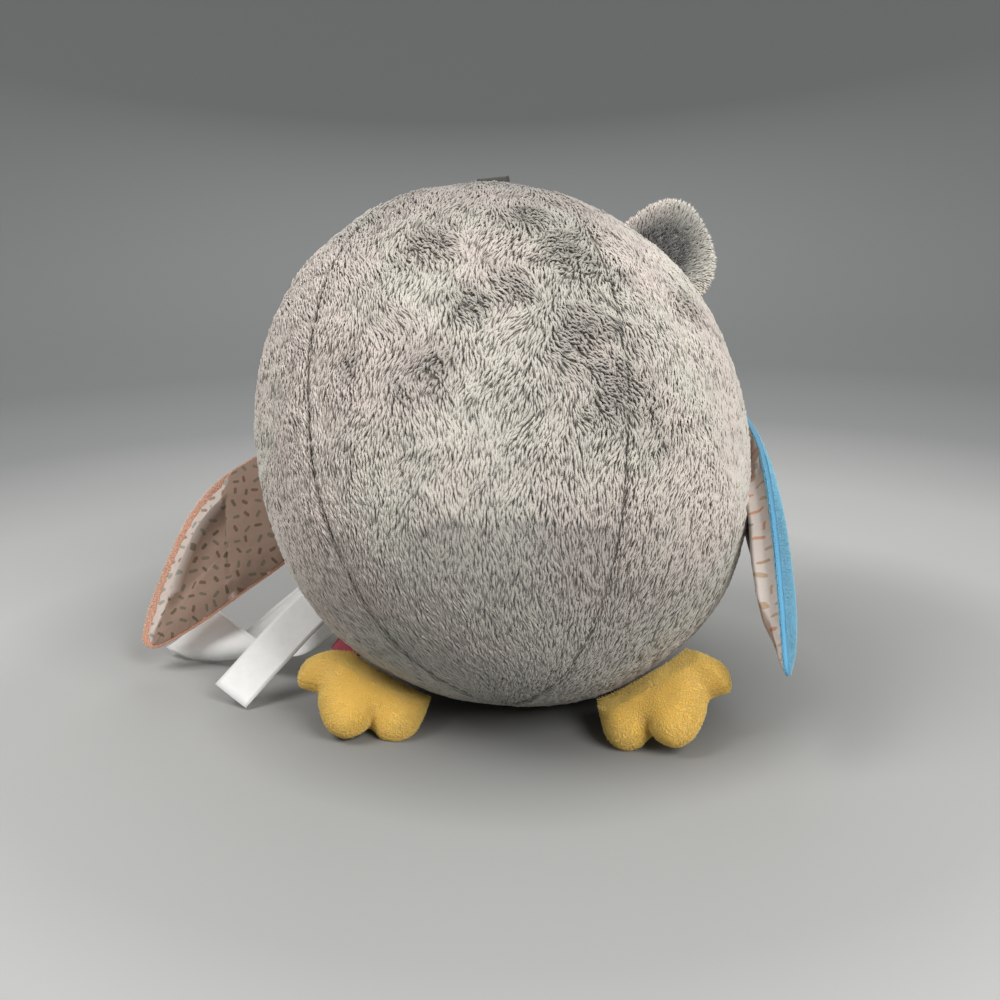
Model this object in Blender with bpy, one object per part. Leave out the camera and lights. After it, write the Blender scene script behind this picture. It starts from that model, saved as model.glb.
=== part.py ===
"""A ball-shaped plush owl, about 150 mm wide, that leans forward with its toes on the floor.

Lengths are metres. The owl is worked out in a frame of its own: +Z up its axis from belly to crown, -Y out
through its face and +X to its left. A longitude runs from the middle of the back toward the owl's left, and a
polar angle runs from the crown. The last section tips that frame forward until the owl rests as it was seen.
"""

import math

import bmesh
import bpy
import numpy as np
from mathutils import Matrix, Vector

MM = 0.001

# Clearances
GAP = 0.3 * MM
FLAT_DEPTH = 0.5 * MM
FLOOR_CUTTER_SHARE = 6.0

# Body: a ball of five plush panels over a stuffing core
BODY_HALF_WIDTH = 75.0 * MM
BODY_HALF_HEIGHT = 79.5 * MM
BODY_SQUARENESS = 2.15
SETTLE_SHARE = 0.035
LEAN = math.radians(26.0)
ROLL = math.radians(5.0)
SAG_DEPTH = 2.4 * MM
SAG_SHARE = 0.25
PLUSH_THICKNESS = 3.0 * MM
SEAM_DEPTH = 0.5 * MM
SEAM_WIDTH = 9.0 * MM
POLE_HOLE_RADIUS = 1.6 * MM
BACK_HALF_ANGLE = math.radians(36.0)
SIDE_SEAM = math.radians(108.0)
FACE_SEAM = math.radians(100.0)
COLUMN_STEP = math.radians(9.0)
ROW_COUNT = 18
FACE_ROW_COUNT = 10

# Where limbs and labels are sewn in: a thin rounded edge that turns close over the skin
ROOT_HALF_THICKNESS = 1.5 * MM
ROOT_SLOPE_SHARE = 0.55
ROOT_POINT_COUNT = 5
EDGE_HALF_THICKNESS = 0.5 * MM
OUTLINE_STEPS = 2

# Wings: a fleece dish with wadding and a printed cotton lining on its inner face
WING_POLAR = math.radians(92.0)
WING_ROOT_LENGTH = 36.0 * MM
WING_REACH = 60.0 * MM
WING_DROP = 65.0 * MM
WING_EDGE_SHARES = (
    (0.24, 0.07),
    (0.47, 0.17),
    (0.64, 0.31),
    (0.76, 0.48),
    (0.86, 0.66),
    (0.93, 0.81),
    (0.97, 0.94),
    (0.93, 0.99),
    (0.84, 0.98),
    (0.62, 0.89),
    (0.38, 0.77),
    (0.14, 0.65),
)
WING_CENTRE_SHARES = (0.44, 0.55)
WING_CROWN = 4.6 * MM
WING_FLEECE = 1.6 * MM
WING_LINING = 0.8 * MM
WING_LINING_SINK = 0.2 * MM
WING_RIM_SHARE = 0.86
LEFT_WING_FOLD = math.radians(15.0)
RIGHT_WING_FOLD = math.radians(90.0)
LEFT_WING_SAG_SHARE = 0.0
RIGHT_WING_SAG_SHARE = 0.46
LEFT_WING_CURL = 2.0 * MM
RIGHT_WING_CURL = 15.0 * MM
WING_INNER_SHARE = 0.43
WING_SHOULDER_SHARE = 0.93
WING_BACK_SHARE = 0.953

# Ears: two cupped plush layers
EAR_POLAR = math.radians(40.0)
EAR_HALF_BASE = 16.5 * MM
EAR_HEIGHT = 24.5 * MM
EAR_EDGE_SHARES = (
    (-0.97, 0.22),
    (-0.84, 0.52),
    (-0.58, 0.82),
    (-0.22, 0.98),
    (0.22, 0.98),
    (0.58, 0.82),
    (0.84, 0.52),
    (0.97, 0.22),
)
EAR_CENTRE_SHARE = 0.42
EAR_LAYER = 2.4 * MM
EAR_CUP = 4.5 * MM
EAR_RING_SHARES = (0.5, 0.85, 1.0)
LEFT_EAR_FOLD = math.radians(-32.0)
RIGHT_EAR_FOLD = math.radians(8.0)

# Feet: stuffed three-toed pillows of an upper and a sole
FOOT_POLAR = math.radians(151.5)
FOOT_LONGITUDE = math.radians(90.0)
FOOT_ROOT_LENGTH = 29.0 * MM
FOOT_HALF_WIDTH = 18.5 * MM
FOOT_REACH = 25.5 * MM
FOOT_EDGE_SHARES = (
    (-1.06, 0.20),
    (-1.19, 0.44),
    (-1.08, 0.66),
    (-0.76, 0.61),
    (-0.56, 0.80),
    (-0.24, 0.99),
    (0.08, 0.98),
    (0.26, 0.80),
    (0.30, 0.66),
    (0.54, 0.72),
    (0.80, 0.66),
    (0.92, 0.46),
    (0.88, 0.20),
)
FOOT_CENTRE_SHARE = 0.35
FOOT_HALF_THICKNESS = 6.6 * MM
FOOT_FABRIC = 1.8 * MM
FOOT_FULLNESS = 2.6
FOOT_RING_SHARES = (0.45, 0.75, 0.93, 1.0)
FOOT_POCKET_SHARE = 0.78
FOOT_POCKET_INNER_SHARE = 0.56
FOOT_STUFFING_SHARE = 0.70
FOOT_STUFFING_INNER_SHARE = 0.50
FOOT_FLEX_LIMITS = (math.radians(-40.0), math.radians(45.0))
FOLD_HALVINGS = 40

# Face: felt discs, pupils and a small stuffed beak
EYE_LONGITUDE = math.radians(156.0)
EYE_POLAR = math.radians(72.0)
EYE_RADIUS = 17.0 * MM
EYE_FELT = 1.2 * MM
PUPIL_RADIUS = 8.5 * MM
PUPIL_FELT = 1.0 * MM
BEAK_POLAR = math.radians(84.0)
BEAK_HALF_WIDTH = 7.5 * MM
BEAK_HALF_HEIGHT = 8.5 * MM
BEAK_FELT = 1.2 * MM
BEAK_RISE = 8.0 * MM
BEAK_CURVE_STEPS = 4
EYE_POINT_COUNT = 28
PUPIL_POINT_COUNT = 20
PATCH_RING_SHARES = (0.35, 0.7, 1.0)
PATCH_SWELL_SHARES = (0.92, 0.62, 0.0)
BEAK_EDGE_SHARES = ((-1.0, 0.72), (0.0, 1.0), (1.0, 0.72), (0.55, -0.35), (0.0, -1.0), (-0.55, -0.35))

# Labels sewn one over the other into the left side seam, the red tab below them and the loop at the crown
LABEL_THICKNESS = 0.5 * MM
LABEL_ROOT_SPACING = 1.2 * MM
SATIN_LABEL_POLAR = math.radians(122.0)
SATIN_LABEL_WIDTH = 12.6 * MM
SATIN_LABEL_REACH = 34.0 * MM
SATIN_LABEL_PATH_SHARES = (
    (0.0, 0.0, -0.018),
    (0.004, 0.05, -0.026),
    (0.044, 0.13, -0.097),
    (0.135, 0.27, -0.235),
    (0.29, 0.54, -0.42),
    (0.532, 0.965, -0.712),
)
SATIN_LABEL_END_SIDE = (0.89, -0.39, 0.23)
SATIN_LABEL_STEPS = 3
CARE_LABEL_POLAR = math.radians(122.7)
CARE_LABEL_LENGTH = 68.7 * MM
CARE_LABEL_WIDTH = 21.3 * MM
CARE_LABEL_FOLD = math.radians(-4.0)
CARE_LABEL_ROLL_START = 14.2 * MM
CARE_LABEL_ROLL_RADIUS = 3.5 * MM
CARE_LABEL_ROLL_TURN = math.radians(227.0)
CARE_LABEL_ROLL_SKEW = math.radians(58.4)
CARE_LABEL_ROWS = 36
CARE_LABEL_COLUMNS = 6
RED_TAB_POLAR = math.radians(135.5)
RED_TAB_LENGTH = 7.5 * MM
RED_TAB_WIDTH = 9.0 * MM
RED_TAB_THICKNESS = 0.5 * MM
RED_TAB_SPREAD = 0.6 * MM
RED_TAB_STEPS = 3
CROWN_LOOP_HEIGHT = 7.0 * MM
CROWN_LOOP_WIDTH = 10.0 * MM
CROWN_LOOP_THICKNESS = 0.6 * MM
CROWN_LOOP_SPREAD = 0.6 * MM
CROWN_LOOP_EYE_RADIUS = 1.5 * MM
CROWN_LOOP_STEPS = 4
CROWN_LOOP_FOLD = math.radians(-12.0)
EYE_STEPS = 6

# Colours: (red, green, blue), roughness
MATERIALS = {
    "grey_plush": ((0.42, 0.40, 0.37), 0.95),
    "cream_plush": ((0.80, 0.74, 0.64), 0.95),
    "peach_fleece": ((0.86, 0.46, 0.32), 0.90),
    "blue_fleece": ((0.16, 0.48, 0.72), 0.90),
    "printed_cotton": ((0.82, 0.80, 0.76), 0.85),
    "yellow_velour": ((0.86, 0.56, 0.11), 0.85),
    "white_felt": ((0.85, 0.84, 0.80), 0.95),
    "dark_felt": ((0.03, 0.03, 0.035), 0.90),
    "polyester_filling": ((0.88, 0.88, 0.87), 1.00),
    "white_satin": ((0.86, 0.86, 0.85), 0.45),
    "red_ribbon": ((0.55, 0.04, 0.08), 0.70),
    "charcoal_ribbon": ((0.06, 0.06, 0.06), 0.80),
}
SHARP_ANGLE = math.radians(40.0)
TANGENT_STEP = 0.01


def clear_scene():
    for old in list(bpy.data.objects):
        bpy.data.objects.remove(old, do_unlink=True)


def material(name):
    """The Principled material of that name, made on first use."""
    if name in bpy.data.materials:
        return bpy.data.materials[name]
    colour, roughness = MATERIALS[name]
    made = bpy.data.materials.new(name)
    made.use_nodes = True
    shader = made.node_tree.nodes["Principled BSDF"]
    shader.inputs["Base Color"].default_value = (*colour, 1.0)
    shader.inputs["Roughness"].default_value = roughness
    shader.inputs["Metallic"].default_value = 0.0
    return made


def empty(name, parent, matrix):
    made = bpy.data.objects.new(name, None)
    made.empty_display_size = BODY_HALF_WIDTH
    made.parent = parent
    made.matrix_local = matrix
    bpy.context.collection.objects.link(made)
    return made


def add_object(name, points, faces, material_name, parent):
    """A smooth-shaded mesh object of triangles, which bend no face, turned outward."""
    mesh = bpy.data.meshes.new(name)
    mesh.from_pydata([tuple(point) for point in points], [], faces)
    shape = bmesh.new()
    shape.from_mesh(mesh)
    bmesh.ops.recalc_face_normals(shape, faces=shape.faces)
    bmesh.ops.triangulate(shape, faces=shape.faces, quad_method="SHORT_EDGE")
    shape.to_mesh(mesh)
    shape.free()
    mesh.shade_smooth()
    mesh.set_sharp_from_angle(angle=SHARP_ANGLE)
    mesh.materials.append(material(material_name))
    made = bpy.data.objects.new(name, mesh)
    made.parent = parent
    bpy.context.collection.objects.link(made)
    return made


def loft(name, first, rings, last, material_name, parent):
    """A closed solid from a first point through closed rings of equal count to a last point."""
    count = len(rings[0])
    points = np.vstack([[first], *rings, [last]])
    around = [(k, (k + 1) % count) for k in range(count)]
    faces = [(0, 1 + a, 1 + b) for a, b in around]
    for row in range(len(rings) - 1):
        low = 1 + row * count
        high = low + count
        faces += [(low + a, high + a, high + b, low + b) for a, b in around]
    end = len(points) - 1
    faces += [(end, end - count + b, end - count + a) for a, b in around]
    return add_object(name, points, faces, material_name, parent)


def two_layers(name, outer, inner, material_name, parent):
    """A closed sheet between two grids of points of equal size."""
    rows, columns = outer.shape[0] - 1, outer.shape[1] - 1
    points = np.vstack([outer.reshape(-1, 3), inner.reshape(-1, 3)])
    wide = columns + 1
    layer = wide * (rows + 1)
    faces = []
    for row in range(rows):
        for column in range(columns):
            a = row * wide + column
            quad = (a, a + 1, a + wide + 1, a + wide)
            faces.append(quad)
            faces.append(tuple(layer + k for k in reversed(quad)))
    rim = list(range(wide))
    rim += [row * wide + columns for row in range(1, rows + 1)]
    rim += [rows * wide + column for column in range(columns - 1, -1, -1)]
    rim += [row * wide for row in range(rows - 1, 0, -1)]
    for k, corner in enumerate(rim):
        following = rim[(k + 1) % len(rim)]
        faces.append((following, corner, layer + corner, layer + following))
    return add_object(name, points, faces, material_name, parent)


# The body's skin

SETTLE = np.array([[1.0, 0.0, SETTLE_SHARE], [0.0, 1.0, 0.0], [SETTLE_SHARE, 0.0, 1.0]])
TIPPED = Matrix.Rotation(ROLL, 3, "Y") @ Matrix.Rotation(LEAN, 3, "X")
DOWN = -np.array(TIPPED)[2]


def direction(longitude, polar):
    return np.stack(
        [np.sin(polar) * np.sin(longitude), np.sin(polar) * np.cos(longitude), np.cos(polar) + 0.0 * longitude],
        axis=-1,
    )


def plain_skin(directions, out=0.0):
    """Points on the ball along these directions: |across/a|^p + |along/b|^p = 1, sheared as the filling settled."""
    directions = directions / np.linalg.norm(directions, axis=-1, keepdims=True)
    plain = directions @ np.linalg.inv(SETTLE).T
    across = np.hypot(plain[..., 0], plain[..., 1]) / BODY_HALF_WIDTH
    along = np.abs(plain[..., 2]) / BODY_HALF_HEIGHT
    radius = (across**BODY_SQUARENESS + along**BODY_SQUARENESS) ** (-1.0 / BODY_SQUARENESS)
    return directions * (radius + out)[..., None]


def lowest_skin_point():
    """The plain skin's furthest point toward the floor."""
    power = BODY_SQUARENESS / (BODY_SQUARENESS - 1.0)
    pull = SETTLE.T @ DOWN
    across = BODY_HALF_WIDTH * math.hypot(pull[0], pull[1])
    along = BODY_HALF_HEIGHT * abs(pull[2])
    height = (across**power + along**power) ** (1.0 / power)
    radius = BODY_HALF_WIDTH * (across / height) ** (power - 1.0)
    level = math.copysign(BODY_HALF_HEIGHT * (along / height) ** (power - 1.0), pull[2])
    outward = math.atan2(pull[1], pull[0])
    return SETTLE @ np.array([radius * math.cos(outward), radius * math.sin(outward), level])


DROP = lowest_skin_point() @ DOWN
LIFT = (1.0 - SAG_SHARE) * SAG_DEPTH


def skin(directions, out=0.0):
    """Points of the skin, its lowest part pressed to a share of its depth by the owl's weight."""
    points = plain_skin(directions, out)
    depth = np.clip(points @ DOWN - (DROP + out - SAG_DEPTH), 0.0, None)
    return points - (1.0 - SAG_SHARE) * depth[..., None] * DOWN


def skin_frame(longitude, polar, side, out):
    """A frame over the skin: +X along the meridian, +Y out of the skin, +Z toward the face.

    On the owl's right +X runs up, so that +Z still faces forward.
    """
    step = TANGENT_STEP
    along = skin(direction(longitude, polar + step)) - skin(direction(longitude, polar - step))
    across = skin(direction(longitude + step, polar)) - skin(direction(longitude - step, polar))
    along /= np.linalg.norm(along)
    outward = np.cross(across, along)
    outward /= np.linalg.norm(outward)
    point = skin(direction(longitude, polar))
    outward *= math.copysign(1.0, outward @ point)
    x_axis = side * along
    columns = np.column_stack([x_axis, outward, np.cross(x_axis, outward)])
    matrix = Matrix(columns.tolist()).to_4x4()
    matrix.translation = Vector(point + out * outward)
    return matrix


def seam_dip(longitudes, polars, edges, top, bottom):
    """How far the skin is drawn in beside a panel's seams."""
    radius = BODY_HALF_WIDTH * np.sin(polars)
    distances = [np.abs(longitudes - edge) * radius for edge in edges]
    if top > 0.0:
        distances.append((polars - top) * BODY_HALF_HEIGHT)
    if bottom < math.pi:
        distances.append((bottom - polars) * BODY_HALF_HEIGHT)
    share = np.clip(1.0 - np.min(distances, axis=0) / SEAM_WIDTH, 0.0, 1.0)
    return SEAM_DEPTH * share**2


def panel(name, left, right, top, bottom, rows, material_name, parent):
    """A plush panel between two meridians and two polar angles, solid inward by the fabric's thickness."""
    columns = round((right - left) / COLUMN_STEP)
    pole = POLE_HOLE_RADIUS / BODY_HALF_WIDTH
    half_gap = GAP / 2.0
    first = top + half_gap / BODY_HALF_HEIGHT if top > 0.0 else pole
    final = bottom - half_gap / BODY_HALF_HEIGHT if bottom < math.pi else math.pi - pole
    marks = np.linspace(top, bottom, rows + 1)
    marks[0] = first
    marks[-1] = final
    longitudes, polars = np.meshgrid(np.linspace(left, right, columns + 1), marks)
    dip = seam_dip(longitudes, polars, (left, right), top, bottom)
    inset = half_gap / (BODY_HALF_WIDTH * np.sin(polars))
    longitudes[:, 0] += inset[:, 0]
    longitudes[:, -1] -= inset[:, -1]
    outer = skin(direction(longitudes, polars)) - direction(longitudes, polars) * dip[..., None]
    inner = skin(direction(longitudes, polars), -PLUSH_THICKNESS)
    inner -= direction(longitudes, polars) * dip[..., None]
    return two_layers(name, outer, inner, material_name, parent)


def body_stuffing(parent):
    """The filling, a ball just inside the panels and their seams."""
    depth = -(PLUSH_THICKNESS + SEAM_DEPTH + GAP)
    longitudes = np.arange(0.0, 2.0 * math.pi - COLUMN_STEP / 2.0, COLUMN_STEP)
    marks = np.linspace(0.0, math.pi, ROW_COUNT + 1)[1:-1]
    rings = [skin(direction(longitudes, mark + 0.0 * longitudes), depth) for mark in marks]
    crown = skin(np.array([0.0, 0.0, 1.0]), depth)
    base = skin(np.array([0.0, 0.0, -1.0]), depth)
    loft("body_stuffing", crown, rings, base, "polyester_filling", parent)


# Sewn limbs


def through(points, steps):
    """Points along a smooth curve through the given ones, which keeps both ends."""
    points = np.array(points)
    padded = np.vstack([2.0 * points[0] - points[1], points, 2.0 * points[-1] - points[-2]])
    curve = []
    for a, b, c, d in zip(padded, padded[1:], padded[2:], padded[3:]):
        for step in range(steps):
            t = step / steps
            bend = (2.0 * a - 5.0 * b + 4.0 * c - d) * t**2 + (3.0 * b - a - 3.0 * c + d) * t**3
            curve.append(b + ((c - a) * t + bend) / 2.0)
    curve.append(points[-1])
    return np.array(curve)


def root_edge(longitude, polar, side, length, out):
    """The sewn edge of a limb in its own frame, from the crown's side down, just over the skin."""
    frame = np.array(skin_frame(longitude, polar, side, out).inverted())
    half_angle = length / 2.0 / BODY_HALF_HEIGHT
    marks = polar + np.linspace(-half_angle, half_angle, ROOT_POINT_COUNT)
    points = skin(direction(longitude + 0.0 * marks, marks), GAP) @ frame[:3, :3].T + frame[:3, 3]
    return np.column_stack([side * points[:, 0], points[:, 1]])


def limb_outline(root, edge_points):
    """A closed outline of (down, outward) points: the free edge and then the sewn edge back up."""
    free = through([root[0], *edge_points, root[-1]], OUTLINE_STEPS)
    return np.vstack([free[:-1], root[:0:-1]])


class Pillow:
    """A sewn limb's outline with a centre that sees all of it, in (down, outward, forward) coordinates.

    The limb is bent toward the back: a cup by its edges, and a curl by its free end.
    """

    def __init__(self, outline, centre, side, half_width, reach, cup=0.0, curl=0.0):
        self.outline = outline
        self.centre = np.array(centre)
        self.side = side
        self.half_width = half_width
        self.reach = reach
        self.cup = cup
        self.curl = curl

    def place(self, flat, heights):
        """Points of the limb's own frame, with its bend added."""
        across = flat[:, 0] / self.half_width
        outward = np.clip(flat[:, 1] / self.reach, 0.0, None)
        bend = self.cup * across**2 * outward + self.curl * outward**2
        return np.column_stack([self.side * flat[:, 0], flat[:, 1], heights - bend])

    def ring(self, share, height):
        """The outline shrunk about the centre, raised by a height or by a function of share and outward place."""
        flat = self.centre + share * (self.outline - self.centre)
        surface = height if callable(height) else level(height)
        return self.place(flat, surface(share, flat[:, 1]))

    def middle(self, height):
        """The point over the centre."""
        return self.ring(0.0, height)[0]


def root_cap(outward):
    """The half thickness that a limb may have at this distance out from its hinge line."""
    round_end = np.sqrt(np.clip(ROOT_HALF_THICKNESS**2 - outward**2, 0.0, None))
    return np.where(outward > 0.0, ROOT_HALF_THICKNESS + ROOT_SLOPE_SHARE * outward, round_end)


def crown(half_thickness, power=2.0):
    """A swelling height, round at the edge and held down near the sewn root."""

    def height(share, outward):
        swell = half_thickness * math.sqrt(max(0.0, 1.0 - share**power))
        return np.minimum(swell, root_cap(outward))

    return height


def level(height):
    return lambda share, outward: height + 0.0 * outward


def less(surface, thickness):
    return lambda share, outward: surface(share, outward) - thickness


def at_least(surface, lowest):
    return lambda share, outward: np.maximum(surface(share, outward), lowest)


def turned_over(surface):
    return lambda share, outward: -surface(share, outward)


def as_it_is(surface):
    return surface


def hinge(name, longitude, polar, side, out, fold, parent):
    """An empty on a limb's hinge line, which is its own X, folded back from straight out."""
    frame = skin_frame(longitude, polar, side, out)
    return empty(name, parent, frame @ Matrix.Rotation(-fold, 4, "X"))


def wing(side_name, side, fold, sag_share, curl, fleece_name, parent):
    """A leaf-shaped wing hanging from the side seam: fleece dish, wadding and printed lining.

    The sag share is how far its cloth has dropped for each step out from the seam.
    """
    out = GAP + ROOT_HALF_THICKNESS
    longitude = side * SIDE_SEAM
    root = root_edge(longitude, WING_POLAR, side, WING_ROOT_LENGTH, out)
    flat = np.array([*WING_EDGE_SHARES, WING_CENTRE_SHARES]) * np.array([WING_REACH, WING_DROP])
    sagged = root[0] + np.column_stack([flat[:, 1] + sag_share * flat[:, 0], flat[:, 0]])
    outline = limb_outline(root, sagged[:-1])
    shape = Pillow(outline, sagged[-1], side, WING_DROP, WING_REACH, curl=curl)
    at = hinge(f"{side_name}_wing_hinge", longitude, WING_POLAR, side, out, fold, parent)
    rim = ROOT_HALF_THICKNESS
    dome = crown(WING_CROWN)
    pocket = less(dome, WING_FLEECE)
    lining_back = WING_LINING_SINK - rim
    lining_front = lining_back + WING_LINING
    wadding_back = lining_front + GAP
    fleece_rings = [
        shape.ring(WING_INNER_SHARE, dome),
        shape.ring(WING_RIM_SHARE, dome),
        shape.ring(WING_SHOULDER_SHARE, dome),
        shape.ring(1.0, EDGE_HALF_THICKNESS),
        shape.ring(1.0, -EDGE_HALF_THICKNESS),
        shape.ring(WING_BACK_SHARE, -rim),
        shape.ring(WING_RIM_SHARE, -rim),
        shape.ring(WING_RIM_SHARE, wadding_back + GAP),
        shape.ring(WING_INNER_SHARE, pocket),
    ]
    name = f"{side_name}_wing_fleece"
    loft(name, shape.middle(dome), fleece_rings, shape.middle(pocket), fleece_name, at)
    filling = less(pocket, GAP)
    lining_share = WING_RIM_SHARE - 2.0 * GAP / WING_REACH
    wadding_share = WING_RIM_SHARE - 3.0 * GAP / WING_REACH
    wadding_rings = [
        shape.ring(WING_INNER_SHARE, filling),
        shape.ring(wadding_share, wadding_back + GAP / 3.0),
        shape.ring(wadding_share, wadding_back),
    ]
    name = f"{side_name}_wing_wadding"
    loft(name, shape.middle(filling), wadding_rings, shape.middle(wadding_back), "polyester_filling", at)
    lining_rings = [shape.ring(lining_share, lining_front), shape.ring(lining_share, lining_back)]
    name = f"{side_name}_wing_lining"
    loft(name, shape.middle(lining_front), lining_rings, shape.middle(lining_back), "printed_cotton", at)


def ear(side_name, side, fold, parent):
    """A rounded ear of two layers, its edges cupped toward the back."""
    out = GAP + ROOT_HALF_THICKNESS
    longitude = side * SIDE_SEAM
    root = root_edge(longitude, EAR_POLAR, side, 2.0 * EAR_HALF_BASE, out)
    edge = np.array(EAR_EDGE_SHARES) * np.array([EAR_HALF_BASE, EAR_HEIGHT])
    centre = (0.0, EAR_CENTRE_SHARE * EAR_HEIGHT)
    shape = Pillow(limb_outline(root, edge), centre, side, EAR_HALF_BASE, EAR_HEIGHT, cup=EAR_CUP)
    at = hinge(f"{side_name}_ear_hinge", longitude, EAR_POLAR, side, out, fold, parent)
    front = at_least(crown(EAR_LAYER), EDGE_HALF_THICKNESS)
    for layer_name, surface, seat in (("front", front, GAP / 2.0), ("back", turned_over(front), -GAP / 2.0)):
        rings = [shape.ring(share, surface) for share in EAR_RING_SHARES]
        rings += [shape.ring(share, seat) for share in (EAR_RING_SHARES[-1], EAR_RING_SHARES[0])]
        name = f"{side_name}_ear_{layer_name}"
        loft(name, shape.middle(surface), rings, shape.middle(seat), "grey_plush", at)


def foot_pillow(side):
    out = GAP + ROOT_HALF_THICKNESS
    root = root_edge(side * FOOT_LONGITUDE, FOOT_POLAR, side, FOOT_ROOT_LENGTH, out)
    edge = np.array(FOOT_EDGE_SHARES) * np.array([FOOT_HALF_WIDTH, FOOT_REACH])
    centre = (0.0, FOOT_CENTRE_SHARE * FOOT_REACH)
    return Pillow(limb_outline(root, edge), centre, side, FOOT_HALF_WIDTH, FOOT_REACH)


def fold_to_floor(shape, surfaces, frame, owl):
    """The fold, back from straight out, that brings a foot's lowest toe down to the floor."""
    points = np.vstack([shape.ring(share, surface) for share in FOOT_RING_SHARES for surface in surfaces])
    low, high = FOOT_FLEX_LIMITS
    for _ in range(FOLD_HALVINGS):
        fold = (low + high) / 2.0
        matrix = np.array(owl @ frame @ Matrix.Rotation(-fold, 4, "X"))
        lowest = (points @ matrix[:3, :3].T + matrix[:3, 3])[:, 2].min()
        if lowest < -FLAT_DEPTH:
            low = fold
        else:
            high = fold
    return fold


def foot(side_name, side, owl, parent):
    """A stuffed three-toed foot, bent at its seam until its toes meet the floor."""
    shape = foot_pillow(side)
    out = GAP + ROOT_HALF_THICKNESS
    longitude = side * FOOT_LONGITUDE
    swell = at_least(crown(FOOT_HALF_THICKNESS, FOOT_FULLNESS), EDGE_HALF_THICKNESS)
    frame = skin_frame(longitude, FOOT_POLAR, side, out)
    fold = fold_to_floor(shape, (swell, turned_over(swell)), frame, owl)
    at = hinge(f"{side_name}_foot_hinge", longitude, FOOT_POLAR, side, out, fold, parent)
    pocket = less(swell, FOOT_FABRIC)
    filling = less(pocket, GAP)
    made = []
    for piece_name, turn in (("sole", as_it_is), ("upper", turned_over)):
        surface = turn(swell)
        inside = turn(pocket)
        seat = turn(level(GAP / 2.0))
        rings = [shape.ring(share, surface) for share in FOOT_RING_SHARES]
        rings.append(shape.ring(FOOT_RING_SHARES[-1], seat))
        rings.append(shape.ring(FOOT_POCKET_SHARE, seat))
        rings.append(shape.ring(FOOT_POCKET_INNER_SHARE, inside))
        name = f"{side_name}_foot_{piece_name}"
        made.append(loft(name, shape.middle(surface), rings, shape.middle(inside), "yellow_velour", at))
    rings = [
        shape.ring(FOOT_STUFFING_INNER_SHARE, filling),
        shape.ring(FOOT_STUFFING_SHARE, level(0.0)),
        shape.ring(FOOT_STUFFING_INNER_SHARE, turned_over(filling)),
    ]
    name = f"{side_name}_foot_stuffing"
    loft(name, shape.middle(filling), rings, shape.middle(turned_over(filling)), "polyester_filling", at)
    return made


# The face


def on_skin(longitude, polar, flat, out):
    """Points laid on the skin from (left, up) places in the tangent plane."""
    centre = skin(direction(np.array(longitude), np.array(polar)))
    up = direction(np.array(longitude), np.array(polar - math.pi / 2.0))
    left = np.cross(up, centre / np.linalg.norm(centre))
    reach = centre + flat[:, :1] * left + flat[:, 1:] * up
    return skin(reach, out)


def applique(name, longitude, polar, outline, low, high, material_name, parent, dome=0.0):
    """A patch on the skin between two heights, with an optional dome on its outer face."""
    rings = []
    for share, lift in zip(PATCH_RING_SHARES, PATCH_SWELL_SHARES):
        rings.append(on_skin(longitude, polar, outline * share, high + dome * lift))
    for share in (PATCH_RING_SHARES[-1], PATCH_RING_SHARES[0]):
        rings.append(on_skin(longitude, polar, outline * share, low))
    nowhere = np.zeros((1, 2))
    first = on_skin(longitude, polar, nowhere, high + dome)[0]
    last = on_skin(longitude, polar, nowhere, low)[0]
    return loft(name, first, rings, last, material_name, parent)


def circle(radius, count):
    angles = np.arange(count) * 2.0 * math.pi / count
    return radius * np.column_stack([np.cos(angles), np.sin(angles)])


def face(parent):
    felt = GAP + EYE_FELT
    pupil = felt + GAP
    for side_name, side in (("left", 1.0), ("right", -1.0)):
        longitude = side * EYE_LONGITUDE
        disc = circle(EYE_RADIUS, EYE_POINT_COUNT)
        applique(f"{side_name}_eye_disc", longitude, EYE_POLAR, disc, GAP, felt, "white_felt", parent)
        dot = circle(PUPIL_RADIUS, PUPIL_POINT_COUNT)
        name = f"{side_name}_pupil"
        applique(name, longitude, EYE_POLAR, dot, pupil, pupil + PUPIL_FELT, "dark_felt", parent)
    corners = np.array(BEAK_EDGE_SHARES) * np.array([BEAK_HALF_WIDTH, BEAK_HALF_HEIGHT])
    outline = through([*corners, corners[0]], BEAK_CURVE_STEPS)[:-1]
    felt = GAP + BEAK_FELT
    dome = BEAK_RISE - BEAK_FELT
    applique("beak", math.pi, BEAK_POLAR, outline, GAP, felt, "yellow_velour", parent, dome)


# Labels, tab and loop


def ribbon(name, path, sides, width, thickness, material_name, parent):
    """A flat strip of even width and thickness along a path, its width lying along the given directions."""
    along = np.gradient(path, axis=0)
    along /= np.linalg.norm(along, axis=1, keepdims=True)
    sides = sides - along * (sides * along).sum(axis=1, keepdims=True)
    sides /= np.linalg.norm(sides, axis=1, keepdims=True)
    facing = np.cross(along, sides) * thickness / 2.0
    edges = np.stack([path - sides * width / 2.0, path + sides * width / 2.0], axis=1)
    return two_layers(name, edges + facing[:, None], edges - facing[:, None], material_name, parent)


def folded_path(length, apart, eye, start, steps):
    """Out along +Y, round a small eye at the fold and back, with the middles of the two legs apart in Z."""
    rise = np.linspace(start, length - eye, steps)
    leg = np.full(steps, apart / 2.0)
    turn = np.linspace(-math.pi / 2.0, math.pi / 2.0, EYE_STEPS + 1)[1:-1]
    outward = np.concatenate([rise, length - eye + eye * np.cos(turn), rise[::-1]])
    forward = np.concatenate([-leg, eye * np.sin(turn), leg])
    return np.column_stack([0.0 * outward, outward, forward])


def seam_hinge(name, polar, out, fold, parent):
    return hinge(f"{name}_hinge", SIDE_SEAM, polar, 1.0, out, fold, parent)


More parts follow.
